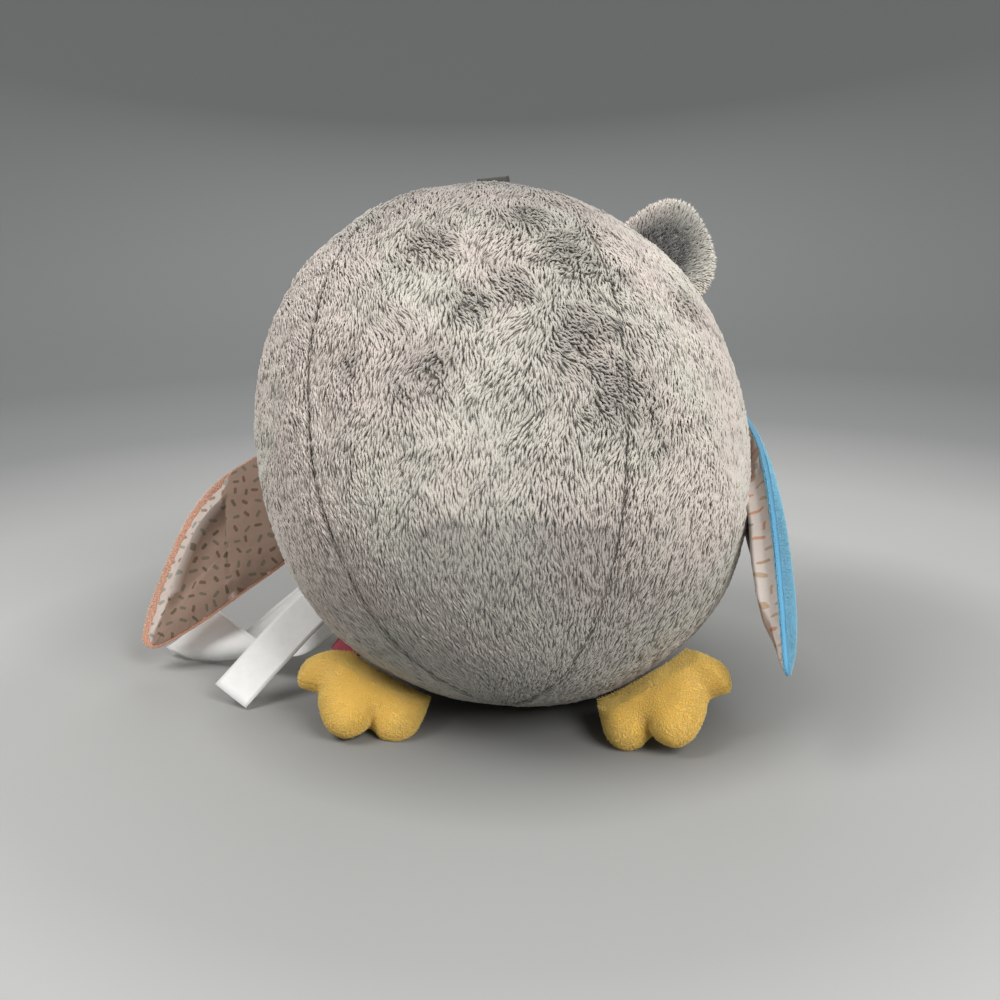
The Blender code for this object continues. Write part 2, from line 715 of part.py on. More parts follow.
def satin_label(parent):
    """A narrow plain label that leaves the seam toward the back and droops until a corner meets the floor."""
    at = seam_hinge("satin_label", SATIN_LABEL_POLAR, GAP + LABEL_THICKNESS, 0.0, parent)
    path = through(SATIN_LABEL_REACH * np.array(SATIN_LABEL_PATH_SHARES), SATIN_LABEL_STEPS)
    share = np.linspace(0.0, 1.0, len(path))[:, None]
    sides = (1.0 - share) * np.array([1.0, 0.0, 0.0]) + share * np.array(SATIN_LABEL_END_SIDE)
    ribbon("satin_label", path, sides, SATIN_LABEL_WIDTH, LABEL_THICKNESS, "white_satin", at)


def care_label(parent):
    """A wide limp label that hangs under the satin one, rolls over skew on the floor and lifts its free end.

    Laid flat it is a rectangle. It is wrapped round a cylinder whose axis is skewed to its width.
    """
    at = seam_hinge("care_label", CARE_LABEL_POLAR, GAP + LABEL_THICKNESS, CARE_LABEL_FOLD, parent)
    half_width = CARE_LABEL_WIDTH / 2.0
    lengths = np.linspace(0.0, CARE_LABEL_LENGTH, CARE_LABEL_ROWS + 1)
    widths = np.linspace(-half_width, half_width, CARE_LABEL_COLUMNS + 1)
    along, down = np.meshgrid(lengths, widths, indexing="ij")
    cos, sin = math.cos(CARE_LABEL_ROLL_SKEW), math.sin(CARE_LABEL_ROLL_SKEW)
    across = along * cos + down * sin
    beside = down * cos - along * sin
    turn = np.clip((across - CARE_LABEL_ROLL_START) / CARE_LABEL_ROLL_RADIUS, 0.0, CARE_LABEL_ROLL_TURN)
    before = np.minimum(across, CARE_LABEL_ROLL_START)
    after = across - before - CARE_LABEL_ROLL_RADIUS * turn
    reach = before + CARE_LABEL_ROLL_RADIUS * np.sin(turn) + after * np.cos(turn)
    sink = CARE_LABEL_ROLL_RADIUS * (1.0 - np.cos(turn)) + after * np.sin(turn)
    root = LABEL_ROOT_SPACING / 2.0
    middle = np.stack([reach * sin + beside * cos, reach * cos - beside * sin, root - sink], axis=-1)
    facing = np.stack([np.sin(turn) * sin, np.sin(turn) * cos, np.cos(turn)], axis=-1) * LABEL_THICKNESS / 2.0
    two_layers("care_label", middle + facing, middle - facing, "white_satin", at)


def red_tab(parent):
    """A short red ribbon, folded double, left plain."""
    half = RED_TAB_SPREAD / 2.0 + RED_TAB_THICKNESS
    at = seam_hinge("red_tab", RED_TAB_POLAR, GAP + half, 0.0, parent)
    apart = RED_TAB_SPREAD + RED_TAB_THICKNESS
    path = folded_path(RED_TAB_LENGTH, apart, apart / 2.0, -half, RED_TAB_STEPS)
    sides = np.tile([1.0, 0.0, 0.0], (len(path), 1))
    ribbon("red_tab", path, sides, RED_TAB_WIDTH, RED_TAB_THICKNESS, "red_ribbon", at)


def crown_loop(parent):
    """A hanging loop of charcoal ribbon, standing at the crown with its fold from side to side."""
    half = CROWN_LOOP_SPREAD / 2.0 + CROWN_LOOP_THICKNESS
    top = skin(np.array([0.0, 0.0, 1.0]), GAP + math.hypot(half, half))
    upright = Matrix(((1.0, 0.0, 0.0), (0.0, 0.0, -1.0), (0.0, 1.0, 0.0))).to_4x4()
    frame = Matrix.Translation(Vector(top)) @ upright
    at = empty("crown_loop_hinge", parent, frame @ Matrix.Rotation(-CROWN_LOOP_FOLD, 4, "X"))
    apart = CROWN_LOOP_SPREAD + CROWN_LOOP_THICKNESS
    path = folded_path(CROWN_LOOP_HEIGHT, apart, CROWN_LOOP_EYE_RADIUS, -half, CROWN_LOOP_STEPS)
    sides = np.tile([1.0, 0.0, 0.0], (len(path), 1))
    ribbon("crown_loop", path, sides, CROWN_LOOP_WIDTH, CROWN_LOOP_THICKNESS, "charcoal_ribbon", at)


# The resting owl


def resting_matrix():
    """The owl tipped forward and rolled a little to its left, its lowest skin just under the floor's level."""
    lowest = TIPPED @ Vector(lowest_skin_point())
    return Matrix.Translation(-lowest - Vector((0.0, 0.0, FLAT_DEPTH + LIFT))) @ TIPPED.to_4x4()


def floor_cutter():
    """The space under the floor's level, which cuts the belly and toes flat."""
    size = FLOOR_CUTTER_SHARE * BODY_HALF_HEIGHT
    bpy.ops.mesh.primitive_cube_add(size=size, location=(0.0, 0.0, -size / 2.0))
    cutter = bpy.context.object
    cutter.name = "floor_cutter"
    cutter.hide_render = True
    cutter.display_type = "WIRE"
    return cutter


def cut_flat(obj, cutter):
    cut = obj.modifiers.new("rest_flat", "BOOLEAN")
    cut.operation = "DIFFERENCE"
    cut.solver = "EXACT"
    cut.object = cutter


def build():
    clear_scene()
    owl = resting_matrix()
    body = empty("owl_body", None, owl)
    back, seam = BACK_HALF_ANGLE, SIDE_SEAM
    front = 2.0 * math.pi - seam
    panel("back_panel", -back, back, 0.0, math.pi, ROW_COUNT, "grey_plush", body)
    panel("left_side_panel", back, seam, 0.0, math.pi, ROW_COUNT, "grey_plush", body)
    panel("right_side_panel", -seam, -back, 0.0, math.pi, ROW_COUNT, "grey_plush", body)
    panel("face_panel", seam, front, 0.0, FACE_SEAM, FACE_ROW_COUNT, "grey_plush", body)
    belly_rows = ROW_COUNT - FACE_ROW_COUNT
    belly = panel("belly_panel", seam, front, FACE_SEAM, math.pi, belly_rows, "cream_plush", body)
    body_stuffing(body)
    face(body)
    wing("left", 1.0, LEFT_WING_FOLD, LEFT_WING_SAG_SHARE, LEFT_WING_CURL, "peach_fleece", body)
    wing("right", -1.0, RIGHT_WING_FOLD, RIGHT_WING_SAG_SHARE, RIGHT_WING_CURL, "blue_fleece", body)
    ear("left", 1.0, LEFT_EAR_FOLD, body)
    ear("right", -1.0, RIGHT_EAR_FOLD, body)
    resting = [belly]
    resting += foot("left", 1.0, owl, body)
    resting += foot("right", -1.0, owl, body)
    satin_label(body)
    care_label(body)
    red_tab(body)
    crown_loop(body)
    cutter = floor_cutter()
    for piece in resting:
        cut_flat(piece, cutter)


build()
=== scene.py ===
"""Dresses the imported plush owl: a stuffed plush ball with sewn ears, wings, feet and labels.

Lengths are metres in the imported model's frame. The owl's own frame has +Z up its axis, -Y out through its face and
+X to its left. A longitude runs from the middle of the back toward its left, a polar angle from the crown.
"""

import math

import bpy
import numpy as np
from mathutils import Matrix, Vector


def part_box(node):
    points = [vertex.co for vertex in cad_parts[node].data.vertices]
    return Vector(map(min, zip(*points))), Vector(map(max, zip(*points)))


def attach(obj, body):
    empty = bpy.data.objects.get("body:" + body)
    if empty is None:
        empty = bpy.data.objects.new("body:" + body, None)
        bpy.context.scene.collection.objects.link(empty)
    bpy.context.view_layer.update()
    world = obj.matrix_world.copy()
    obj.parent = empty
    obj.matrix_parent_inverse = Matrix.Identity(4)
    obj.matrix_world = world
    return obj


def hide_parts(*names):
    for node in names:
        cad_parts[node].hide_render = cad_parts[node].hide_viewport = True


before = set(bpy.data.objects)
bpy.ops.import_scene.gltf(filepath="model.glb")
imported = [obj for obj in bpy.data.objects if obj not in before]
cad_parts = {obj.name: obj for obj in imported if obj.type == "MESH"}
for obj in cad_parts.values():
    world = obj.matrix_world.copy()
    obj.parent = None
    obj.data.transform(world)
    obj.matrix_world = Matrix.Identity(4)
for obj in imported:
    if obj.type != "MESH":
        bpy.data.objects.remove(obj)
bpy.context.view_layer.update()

# The view
# A camera behind the owl and a little above it. The middle of the ball falls on the same place of the picture as in
# the photograph, and the picture is turned by one degree.

MM = 0.001
VIEW_AZIMUTH = math.radians(188.0)
VIEW_HEIGHT = math.radians(13.0)
VIEW_DISTANCE = 460.0 * MM
VIEW_TURN = math.radians(-1.0)
BALL_PLACE = (503.0, 443.5)
HALF_PICTURE = 500.0
FOCAL_PIXELS = 1502.0


def unit(vectors):
    return vectors / np.linalg.norm(vectors, axis=-1, keepdims=True)


def turned(vectors, axis, angle):
    """Vectors turned about a unit axis: the part across the axis turns, the part along it stays."""
    along = (vectors @ axis)[..., None] * axis
    return along + (vectors - along) * math.cos(angle) + np.cross(axis, vectors) * math.sin(angle)


def box_middle(node):
    low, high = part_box(node)
    return (np.array(low) + np.array(high)) / 2.0


ball_middle = box_middle("body_stuffing")
back = unit(np.array([math.sin(VIEW_AZIMUTH), -math.cos(VIEW_AZIMUTH), math.tan(VIEW_HEIGHT)]))
across = unit(np.cross(-back, np.array([0.0, 0.0, 1.0])))
upright = np.cross(across, -back)
pitch = -math.atan((HALF_PICTURE - BALL_PLACE[1]) / FOCAL_PIXELS)
yaw = math.atan((BALL_PLACE[0] - HALF_PICTURE) / FOCAL_PIXELS)
ahead = turned(turned(-back, across, pitch), turned(upright, across, pitch), yaw)
upright = turned(upright, across, pitch)
across = turned(across, upright, yaw)
across, upright = (
    across * math.cos(VIEW_TURN) + upright * math.sin(VIEW_TURN),
    upright * math.cos(VIEW_TURN) - across * math.sin(VIEW_TURN),
)
camera = bpy.data.objects.new("camera", bpy.data.cameras.new("camera"))
camera.data.lens = FOCAL_PIXELS / (2.0 * HALF_PICTURE) * camera.data.sensor_width
place = np.eye(4)
place[:3, 0], place[:3, 1], place[:3, 2] = across, upright, -ahead
place[:3, 3] = ball_middle + VIEW_DISTANCE * back
camera.matrix_world = Matrix(place.tolist())
bpy.context.collection.objects.link(camera)
bpy.context.scene.camera = camera
bpy.context.scene.view_settings.view_transform = "Standard"

# The stage
# A pale grey floor that turns up into a round wall without a line, so that every side has the same plain background,
# under two large soft lamps at the camera's left and right, a weak one behind the toy and an even sky.

COVE_FLOOR = 0.75
COVE_BEND = 0.75
COVE_HEIGHT = 1.3
COVE_RINGS = 90
COVE_SPOKES = 128
FLOOR_MOTTLE = 0.02
# The floor's tones by distance from the middle: a painted shadow round the toy out to about 0.11 m, then the pale
# floor, then painted shade that darkens it outward and up the wall.
FLOOR_TONES_AND_SHADE = (
    (0.05, (116, 116, 115)), (0.08, (146, 146, 144)), (0.11, (172, 172, 170)), (0.17, (176, 176, 174)),
    (0.21, (188, 188, 186)), (0.28, (182, 182, 180)), (0.42, (144, 145, 145)), (0.6, (127, 128, 128)),
    (1.0, (131, 132, 132)),
)
BLACK = (0, 0, 0)
WHITE = (255, 255, 255)
SKY = 0.3
LAMPS = {
    "left_lamp": ((0.75, 0.45, 1.2), 0.7, 11.0),
    "right_lamp": ((-0.8, 0.85, 0.9), 0.7, 16.0),
    "far_lamp": ((0.15, -0.95, 0.6), 0.6, 3.2),
}


def add_mesh(name, points, faces, marks=None, flat=None):
    """A smooth mesh from points, arrays of triangles or quads, marks for each point and flat places for a UV map."""
    mesh = bpy.data.meshes.new(name)
    loops = np.concatenate([block.ravel() for block in faces]).astype(np.int32)
    sizes = np.concatenate([np.full(len(block), block.shape[1]) for block in faces])
    starts = (np.cumsum(sizes) - sizes).astype(np.int32)
    mesh.vertices.add(len(points))
    mesh.vertices.foreach_set("co", points.astype(np.float32).ravel())
    mesh.loops.add(len(loops))
    mesh.loops.foreach_set("vertex_index", loops)
    mesh.polygons.add(len(starts))
    mesh.polygons.foreach_set("loop_start", starts)
    mesh.update(calc_edges=True)
    for key, values in (marks or {}).items():
        mesh.attributes.new(key, "FLOAT", "POINT").data.foreach_set("value", values.astype(np.float32))
    if flat is not None:
        layer = mesh.uv_layers.new(name="flat")
        layer.uv.foreach_set("vector", flat[loops].astype(np.float32).ravel())
    mesh.shade_smooth()
    made = bpy.data.objects.new(name, mesh)
    bpy.context.collection.objects.link(made)
    return made


def grid_quads(rows, columns, closed=False, start=0):
    """Quads between neighbours of a grid of points, with its last column joined to its first where it is closed."""
    row, column = np.meshgrid(np.arange(rows - 1), np.arange(columns if closed else columns - 1), indexing="ij")
    after = (column + 1) % columns
    quads = [row * columns + column, row * columns + after, (row + 1) * columns + after, (row + 1) * columns + column]
    return start + np.stack(quads, axis=-1).reshape(-1, 4)


def linear(colour):
    """A colour as it is seen on a screen, 0 to 255, as the light that a material returns."""
    seen = np.array(colour) / 255.0
    return (*np.where(seen <= 0.04045, seen / 12.92, ((seen + 0.055) / 1.055) ** 2.4), 1.0)


class Finish:
    """A procedural material put together node by node round one Principled shader."""

    def __init__(self, name, **sockets):
        self.material = bpy.data.materials.new(name)
        self.material.use_nodes = True
        self.tree = self.material.node_tree
        self.shader = self.tree.nodes["Principled BSDF"]
        for key, value in sockets.items():
            self.shader.inputs[key.replace("_", " ").title().replace("Ior", "IOR")].default_value = value

    def node(self, kind, feeds=None, **settings):
        """A node with its settings, its sockets fed by numbers, by nodes or by a node's output."""
        made = self.tree.nodes.new(kind)
        for key, value in settings.items():
            setattr(made, key, value)
        for key, value in (feeds or {}).items():
            self.feed(made.inputs[key], value)
        return made

    def feed(self, socket, value):
        if isinstance(value, bpy.types.Node):
            value = value.outputs[0]
        if isinstance(value, bpy.types.NodeSocket):
            self.tree.links.new(value, socket)
        else:
            socket.default_value = value

    def ramp(self, factor, *stops):
        """A colour, 0 to 255, for each place between 0 and 1."""
        made = self.node("ShaderNodeValToRGB", {"Fac": factor})
        elements = made.color_ramp.elements
        while len(elements) < len(stops):
            elements.new(0.5)
        for element, (at, colour) in zip(elements, stops):
            element.position = at
            element.color = linear(colour)
        return made

    def noise(self, scale, detail=2.0, roughness=0.5, vector=None):
        feeds = {"Scale": scale, "Detail": detail, "Roughness": roughness}
        feeds["Vector"] = vector or self.place()
        return self.node("ShaderNodeTexNoise", feeds)

    def place(self):
        return self.node("ShaderNodeTexCoord").outputs["Object"]

    def maths(self, operation, first, second=0.0, third=0.0):
        return self.node("ShaderNodeMath", {0: first, 1: second, 2: third}, operation=operation)

    def vector(self, operation, feeds):
        return self.node("ShaderNodeVectorMath", feeds, operation=operation)

    def ribs(self, flat, scale, distortion, way):
        """Woven ribs, a wave across the flat cloth."""
        feeds = {"Vector": flat, "Scale": scale, "Distortion": distortion}
        return self.node("ShaderNodeTexWave", feeds, bands_direction=way).outputs[1]

    def mix(self, blend, factor, first, second):
        made = self.node("ShaderNodeMix", data_type="RGBA", blend_type=blend)
        self.feed(made.inputs["Factor"], factor)
        self.feed(made.inputs[6], first)
        self.feed(made.inputs[7], second)
        return made.outputs[2]

    def bump(self, height, distance, strength=1.0, over=None):
        feeds = {"Height": height, "Distance": distance, "Strength": strength}
        if over is not None:
            feeds["Normal"] = over
        return self.node("ShaderNodeBump", feeds)

    def attribute(self, name):
        return self.node("ShaderNodeAttribute", attribute_name=name).outputs["Fac"]

    def finished(self, colour, normal=None, roughness=None):
        self.feed(self.shader.inputs["Base Color"], colour)
        if normal is not None:
            self.feed(self.shader.inputs["Normal"], normal)
        if roughness is not None:
            self.feed(self.shader.inputs["Roughness"], roughness)
        return self.material


def cove(around, along):
    """Floor out to a radius, then a quarter of a circle upward, then an upright wall, carried round the middle."""
    bend = np.clip((along - COVE_FLOOR) / COVE_BEND, 0.0, math.pi / 2.0)
    radius = np.minimum(along, COVE_FLOOR) + COVE_BEND * np.sin(bend)
    height = COVE_BEND * (1.0 - np.cos(bend))
    height += np.clip(along - COVE_FLOOR - COVE_BEND * math.pi / 2.0, 0.0, None)
    return np.stack([radius * np.cos(around), radius * np.sin(around), height], axis=-1)


wall_top = COVE_FLOOR + COVE_BEND * math.pi / 2.0 + COVE_HEIGHT - COVE_BEND
spokes = np.linspace(0.0, 2.0 * math.pi, COVE_SPOKES + 1)[:-1]
along, around = np.meshgrid(np.linspace(MM, wall_top, COVE_RINGS), spokes, indexing="ij")
floor = add_mesh("floor", cove(around, along).reshape(-1, 3), [grid_quads(COVE_RINGS, COVE_SPOKES, closed=True)])
floor_finish = Finish("studio_floor", roughness=0.9, specular_ior_level=0.1)
distance = floor_finish.node("ShaderNodeVectorMath", {0: floor_finish.place()}, operation="LENGTH").outputs["Value"]
# The floor takes its tones by distance from the middle, with the painted shadow under the toy and the painted shade up
# the wall.
mottle = floor_finish.maths("MULTIPLY_ADD", floor_finish.noise(6.0, 3.0), FLOOR_MOTTLE, distance)
floor.data.materials.append(floor_finish.finished(floor_finish.ramp(mottle, *FLOOR_TONES_AND_SHADE)))

for name, (spot, size, power) in LAMPS.items():
    lamp = bpy.data.objects.new(name, bpy.data.lights.new(name, "AREA"))
    lamp.data.size = size
    lamp.data.energy = power
    lamp.matrix_world = Matrix.Translation(spot) @ (
        Vector(spot) - Vector(ball_middle)
    ).to_track_quat("Z", "Y").to_matrix().to_4x4()
    bpy.context.collection.objects.link(lamp)
world = bpy.data.worlds.new("sky")
world.use_nodes = True
world.node_tree.nodes["Background"].inputs["Color"].default_value = (1.0, 1.0, 1.0, 1.0)
world.node_tree.nodes["Background"].inputs["Strength"].default_value = SKY
bpy.context.scene.world = world

# The plush ball
# Five panels of long-piled plush, sewn edge to edge along meridians over a round filling. Each is a backing cloth
# with locks of pile on it, combed downward but stroked this way and that, and drawn in at its seams.

BODY_HALF_WIDTH = 75.0 * MM
BODY_HALF_HEIGHT = 79.5 * MM
BODY_SQUARENESS = 2.15
SETTLE_SHARE = 0.035
LEAN = math.radians(26.0)
ROLL = math.radians(5.0)
SAG_DEPTH = 2.4 * MM
SAG_SHARE = 0.25
FLAT_DEPTH = 0.5 * MM
PLUSH_THICKNESS = 3.0 * MM
BACKING_DEPTH = 1.5 * MM
BACK_HALF_ANGLE = math.radians(36.0)
SIDE_SEAM = math.radians(108.0)
FACE_SEAM = math.radians(100.0)
SEAM_DIP = 0.7 * MM
SEAM_WIDTH = 2.6 * MM
SEAM_BARE = 0.5 * MM
SEAM_CALM = 2.5 * MM
INNER_DIP_SHARE = 0.2
POLE = 0.012
GRID_STEP = 2.6 * MM
LUMP_RISE = 0.5 * MM
LUMP_WAVE = 46.0 * MM

# A lock has three points at its root, three at its shoulder and one at its tip.
LOCK_ALONG = (0.0, 0.0, 0.15, 0.55, 0.55, 0.7, 1.0)
SHOULDER_REACH_SHARE = 0.34
SHOULDER_SWING_SHARE = 0.2
SHOULDER_WIDTH_SHARES = (0.8, 1.0)
RIDGE_SHARE = 0.45
TIP_LIFT_SHARE = 0.85

BODY_LOCKS = 104000
LOCK_REACH = 5.6 * MM
LOCK_RISE = 1.0 * MM
LOCK_WIDTH = 0.72 * MM
LOCK_SWAY = 0.1
LOCK_LIFT_SHARE = 0.62
LOCK_JITTER = 0.3

# Waves of the comb's turn in radians and of how far the locks stand up: height, length and seed.
COMB_WAVES = ((0.42, 55.0 * MM, 21), (0.42, 17.0 * MM, 22))
STAND_WAVES = ((0.5, 20.0 * MM, 25), (0.25, 6.0 * MM, 26))
STAND = 0.4
FINE_TURN = 0.2
STRAY_TURN = 0.09
PARTING_WAVE = 12.0 * MM
PARTING_WIDTH = 0.14

# Painted shade: how much darker a lock is made where it is ruffled, where the nap is pressed below the band and over
# the low part of the ball, on the crown and in a parting. The last share, below nought, is painted light that makes the
# locks lighter at the sides.
SHADES = (1.6, 1.2, 2.5, 0.7, -0.45)
# How much lower the locks lie where the nap is pressed, in a parting or at the sides.
LOWERED = (0.25, 0.3, 0.15)

CALM_POLAR = (math.radians(92.0), math.radians(118.0))
CALM_SHARE = 0.6
BAND_POLAR = math.radians(116.0)
BAND_LONGITUDES = (math.radians(-42.0), math.radians(22.0))
LOW_POLAR = math.radians(110.0)
CROWN_SHADE_POLAR = math.radians(55.0)

# Patches that were stroked aside: longitude and polar angle in degrees, radius in millimetres, turn in radians.
STROKES = (
    (-33.0, 89.0, 11.0, 1.1), (-25.0, 80.0, 9.0, 1.3), (-28.0, 59.0, 8.5, -1.1), (-4.0, 72.0, 5.5, 1.0),
    (-12.0, 69.0, 6.0, 1.3), (23.0, 81.0, 4.0, -0.7), (11.0, 90.0, 3.5, 0.6), (4.0, 86.0, 6.0, -0.5),
    (-42.0, 94.0, 5.0, -0.9), (9.0, 56.0, 8.0, 0.9), (-18.0, 47.0, 7.0, 0.8), (-60.0, 66.0, 6.0, 0.5),
)

# Grey and cream pile, from root to tip, the darker roots a painted shade deep in the pile, and two tints that wander
# through the grey.
GREY_ROOT = (180, 173, 165)
GREY_TIP = (215, 207, 199)
GREY_TINTS = ((255, 251, 249), (250, 254, 249))
CREAM_ROOT = (150, 138, 118)
CREAM_TIP = (240, 231, 212)
TIP_COLOUR_ALONG = 0.62
PATCH_DEPTH = 0.2


def axis_turn(axis, angle):
    return turned(np.eye(3), np.eye(3)[axis], angle).T


SETTLE = np.array([[1.0, 0.0, SETTLE_SHARE], [0.0, 1.0, 0.0], [SETTLE_SHARE, 0.0, 1.0]])
TIPPED = axis_turn(1, ROLL) @ axis_turn(0, LEAN)
DOWN = -TIPPED[2]


def direction(longitude, polar):
    """The unit vector of a longitude and a polar angle."""
    longitude, polar = np.broadcast_arrays(longitude, polar)
    return np.stack([np.sin(polar) * np.sin(longitude), np.sin(polar) * np.cos(longitude), np.cos(polar)], axis=-1)


def plain_skin(directions, out=0.0):
    """The ball along these directions: |across/a|^p + |along/b|^p = 1, sheared as the filling settled."""
    directions = unit(directions)
    plain = directions @ np.linalg.inv(SETTLE).T
    across = np.hypot(plain[..., 0], plain[..., 1]) / BODY_HALF_WIDTH
    along = np.abs(plain[..., 2]) / BODY_HALF_HEIGHT
    radius = (across**BODY_SQUARENESS + along**BODY_SQUARENESS) ** (-1.0 / BODY_SQUARENESS)
    return directions * (radius + out)[..., None]


def lowest_skin_point():
    """The plain skin's furthest point toward the floor."""
    power = BODY_SQUARENESS / (BODY_SQUARENESS - 1.0)
    pull = SETTLE.T @ DOWN
    across = BODY_HALF_WIDTH * math.hypot(pull[0], pull[1])
    along = BODY_HALF_HEIGHT * abs(pull[2])
    height = (across**power + along**power) ** (1.0 / power)
    radius = BODY_HALF_WIDTH * (across / height) ** (power - 1.0)
    level = math.copysign(BODY_HALF_HEIGHT * (along / height) ** (power - 1.0), pull[2])
    outward = math.atan2(pull[1], pull[0])
    return SETTLE @ np.array([radius * math.cos(outward), radius * math.sin(outward), level])


DROP = lowest_skin_point() @ DOWN
LIFT = (1.0 - SAG_SHARE) * SAG_DEPTH
REST = -TIPPED @ lowest_skin_point() - np.array([0.0, 0.0, FLAT_DEPTH + LIFT])


def skin(directions, out=0.0):
    """Points of the skin, its lowest part pressed to a share of its depth by the owl's weight."""
    out = np.broadcast_to(out, directions.shape[:-1])
    points = plain_skin(directions, out)
    depth = np.clip(points @ DOWN - (DROP + out - SAG_DEPTH), 0.0, None)
    return points - (1.0 - SAG_SHARE) * depth[..., None] * DOWN


def in_world(points):
    """Places of the owl's own frame, tipped forward and set on the floor, none of them under it."""
    moved = points @ TIPPED.T + REST
    moved[..., 2] = np.maximum(moved[..., 2], 0.0)
    return moved


def ramped(values):
    """Values kept between nought and one."""
    return np.clip(values, 0.0, 1.0)


def ripple(points, wavelength, seed, waves=9):
    """Smooth noise between about -1 and 1: a sum of plane waves in random directions, all of about one wavelength."""
    rng = np.random.default_rng(seed)
    ways = unit(rng.normal(size=(waves, 3))) * (2.0 * math.pi / (wavelength * rng.uniform(0.7, 1.5, (waves, 1))))
    return np.sin(points @ ways.T + rng.uniform(0.0, 2.0 * math.pi, waves)).sum(axis=-1) / math.sqrt(2.0 * waves)


def ripples(points, waves):
    """A sum of smooth noises, each with its height, wavelength and seed."""
    return sum(height * ripple(points, wavelength, seed) for height, wavelength, seed in waves)


def pile(roots, out, comb, reach, rise, width, seed, sway=0.25, lift=TIP_LIFT_SHARE):
    """Locks of pile in the world, each a three-sided tube from root to shoulder to tip, bent along its comb."""
    count = len(roots)
    rng = np.random.default_rng(seed)
    reach, rise, width = (np.broadcast_to(value, count)[:, None] for value in (reach, rise, width))
    beside = unit(np.cross(comb, out))
    swing = beside * reach * rng.normal(0.0, sway, (count, 1))
    rise = rise * rng.uniform(0.7, 1.12, (count, 1))
    shoulder = roots + out * rise + comb * reach * SHOULDER_REACH_SHARE + swing * SHOULDER_SWING_SHARE
    tip = roots + out * rise * lift + comb * reach + swing
    ridge = unit(np.cross(beside, tip - roots))
    stations = []
    for middle, share in zip((roots, shoulder), SHOULDER_WIDTH_SHARES):
        half = beside * width * share / 2.0
        stations += [middle - half, middle + half, middle + ridge * width * share * RIDGE_SHARE]
    points = np.stack([*stations, tip], axis=1).reshape(-1, 3)
    start = len(LOCK_ALONG) * np.arange(count)[:, None, None]
    quads = start + np.array([[0, 2, 5, 3], [2, 1, 4, 5], [1, 0, 3, 4]])
    tips = start + np.array([[3, 5, 6], [5, 4, 6], [4, 3, 6]])
    marks = {"along": np.tile(LOCK_ALONG, count), "tuft": each_point(rng.uniform(0.0, 1.0, count))}
    return in_world(points), [quads.reshape(-1, 4), tips.reshape(-1, 3)], marks


def each_point(values):
    """A value of each lock, given to all its points."""
    return np.repeat(values, len(LOCK_ALONG))


def bare_marks(count):
    """The marks of points that have no pile."""
    return {"along": np.zeros(count), "tuft": np.full(count, 0.5)}


def shell(outer, inner):
    """A closed cloth between two grids of points: both faces and the rim."""
    rows, columns = outer.shape[:2]
    half = rows * columns
    front = grid_quads(rows, columns)
    index = np.arange(half).reshape(rows, columns)
    rim = np.concatenate([index[0], index[1:, -1], index[-1, -2::-1], index[-2:0:-1, 0]])
    after = np.roll(rim, -1)
    edge = np.stack([after, rim, rim + half, after + half], axis=-1)
    points = np.concatenate([outer.reshape(-1, 3), inner.reshape(-1, 3)])
    return points, [front, front[:, ::-1] + half, edge], bare_marks(2 * half)


def joined(*parts):
    """Parts of one piece as one list of points, with their faces and marks."""
    points, faces, marks, start = [], [], {}, 0
    for some, blocks, more in parts:
        points.append(some)
        faces += [block + start for block in blocks]
        for key, values in more.items():
            marks.setdefault(key, []).append(values)
        start += len(some)
    return np.concatenate(points), faces, {key: np.concatenate(values) for key, values in marks.items()}


def sewn(name, part, finish, body, nodes=(), flat=None):
    """A piece of the toy, which rides on a body, stands for its solids and takes the finish it is given."""
    made = add_mesh(name, *part, flat=flat)
    made.data.materials.append(finish)
    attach(made, body)
    if nodes:
        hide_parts(*nodes)
    return made


def pile_finish(name, root, tip, spread=0.24, sheen=0.25, tints=(WHITE, WHITE), holes=None):
    """Pile: darker at its roots and on its backing than at its tips, a painted shade deep in the pile. Each lock is a
    little lighter or darker at random and by the painted shade and painted light that it carries, in larger soft
    patches.

    Two tints wander through it, and needle holes of a darker colour are scattered over it where they are given.
    """
    made = Finish(name, roughness=0.88, specular_ior_level=0.25, sheen_weight=sheen, sheen_roughness=0.55)
    shade = made.ramp(made.attribute("along"), (0.0, root), (TIP_COLOUR_ALONG, tip), (1.0, tip))
    # Each lock's random tone, with the painted shade and painted light that it carries.
    own = made.maths("MULTIPLY_ADD", made.attribute("tuft"), spread, 1.0 - spread / 2.0)
    patch = made.maths("MULTIPLY_ADD", made.noise(45.0, 3.0, 0.6), PATCH_DEPTH, 1.0 - PATCH_DEPTH / 2.0)
    tone = made.maths("MULTIPLY", own, patch)
    tinted = made.node("ShaderNodeCombineColor", {0: tone, 1: tone, 2: tone})
    coloured = made.mix("MULTIPLY", 1.0, shade, tinted)
    wander = made.ramp(made.noise(28.0, 2.0, 0.5), (0.4, tints[0]), (0.6, tints[1]))
    coloured = made.mix("MULTIPLY", 1.0, coloured, wander)
    if holes is not None:
        spots = made.node("ShaderNodeTexVoronoi", {"Vector": made.place(), "Scale": 95.0, "Randomness": 1.0})
        hole = made.ramp(spots.outputs["Distance"], (0.05, WHITE), (0.085, BLACK))
        coloured = made.mix("MIX", made.maths("MULTIPLY", hole, 0.6), coloured, linear(holes))
    return made.finished(coloured)


grey_pile = pile_finish("grey_pile", GREY_ROOT, GREY_TIP, sheen=0.35, tints=GREY_TINTS)
cream_pile = pile_finish("cream_pile", CREAM_ROOT, CREAM_TIP, sheen=0.5)


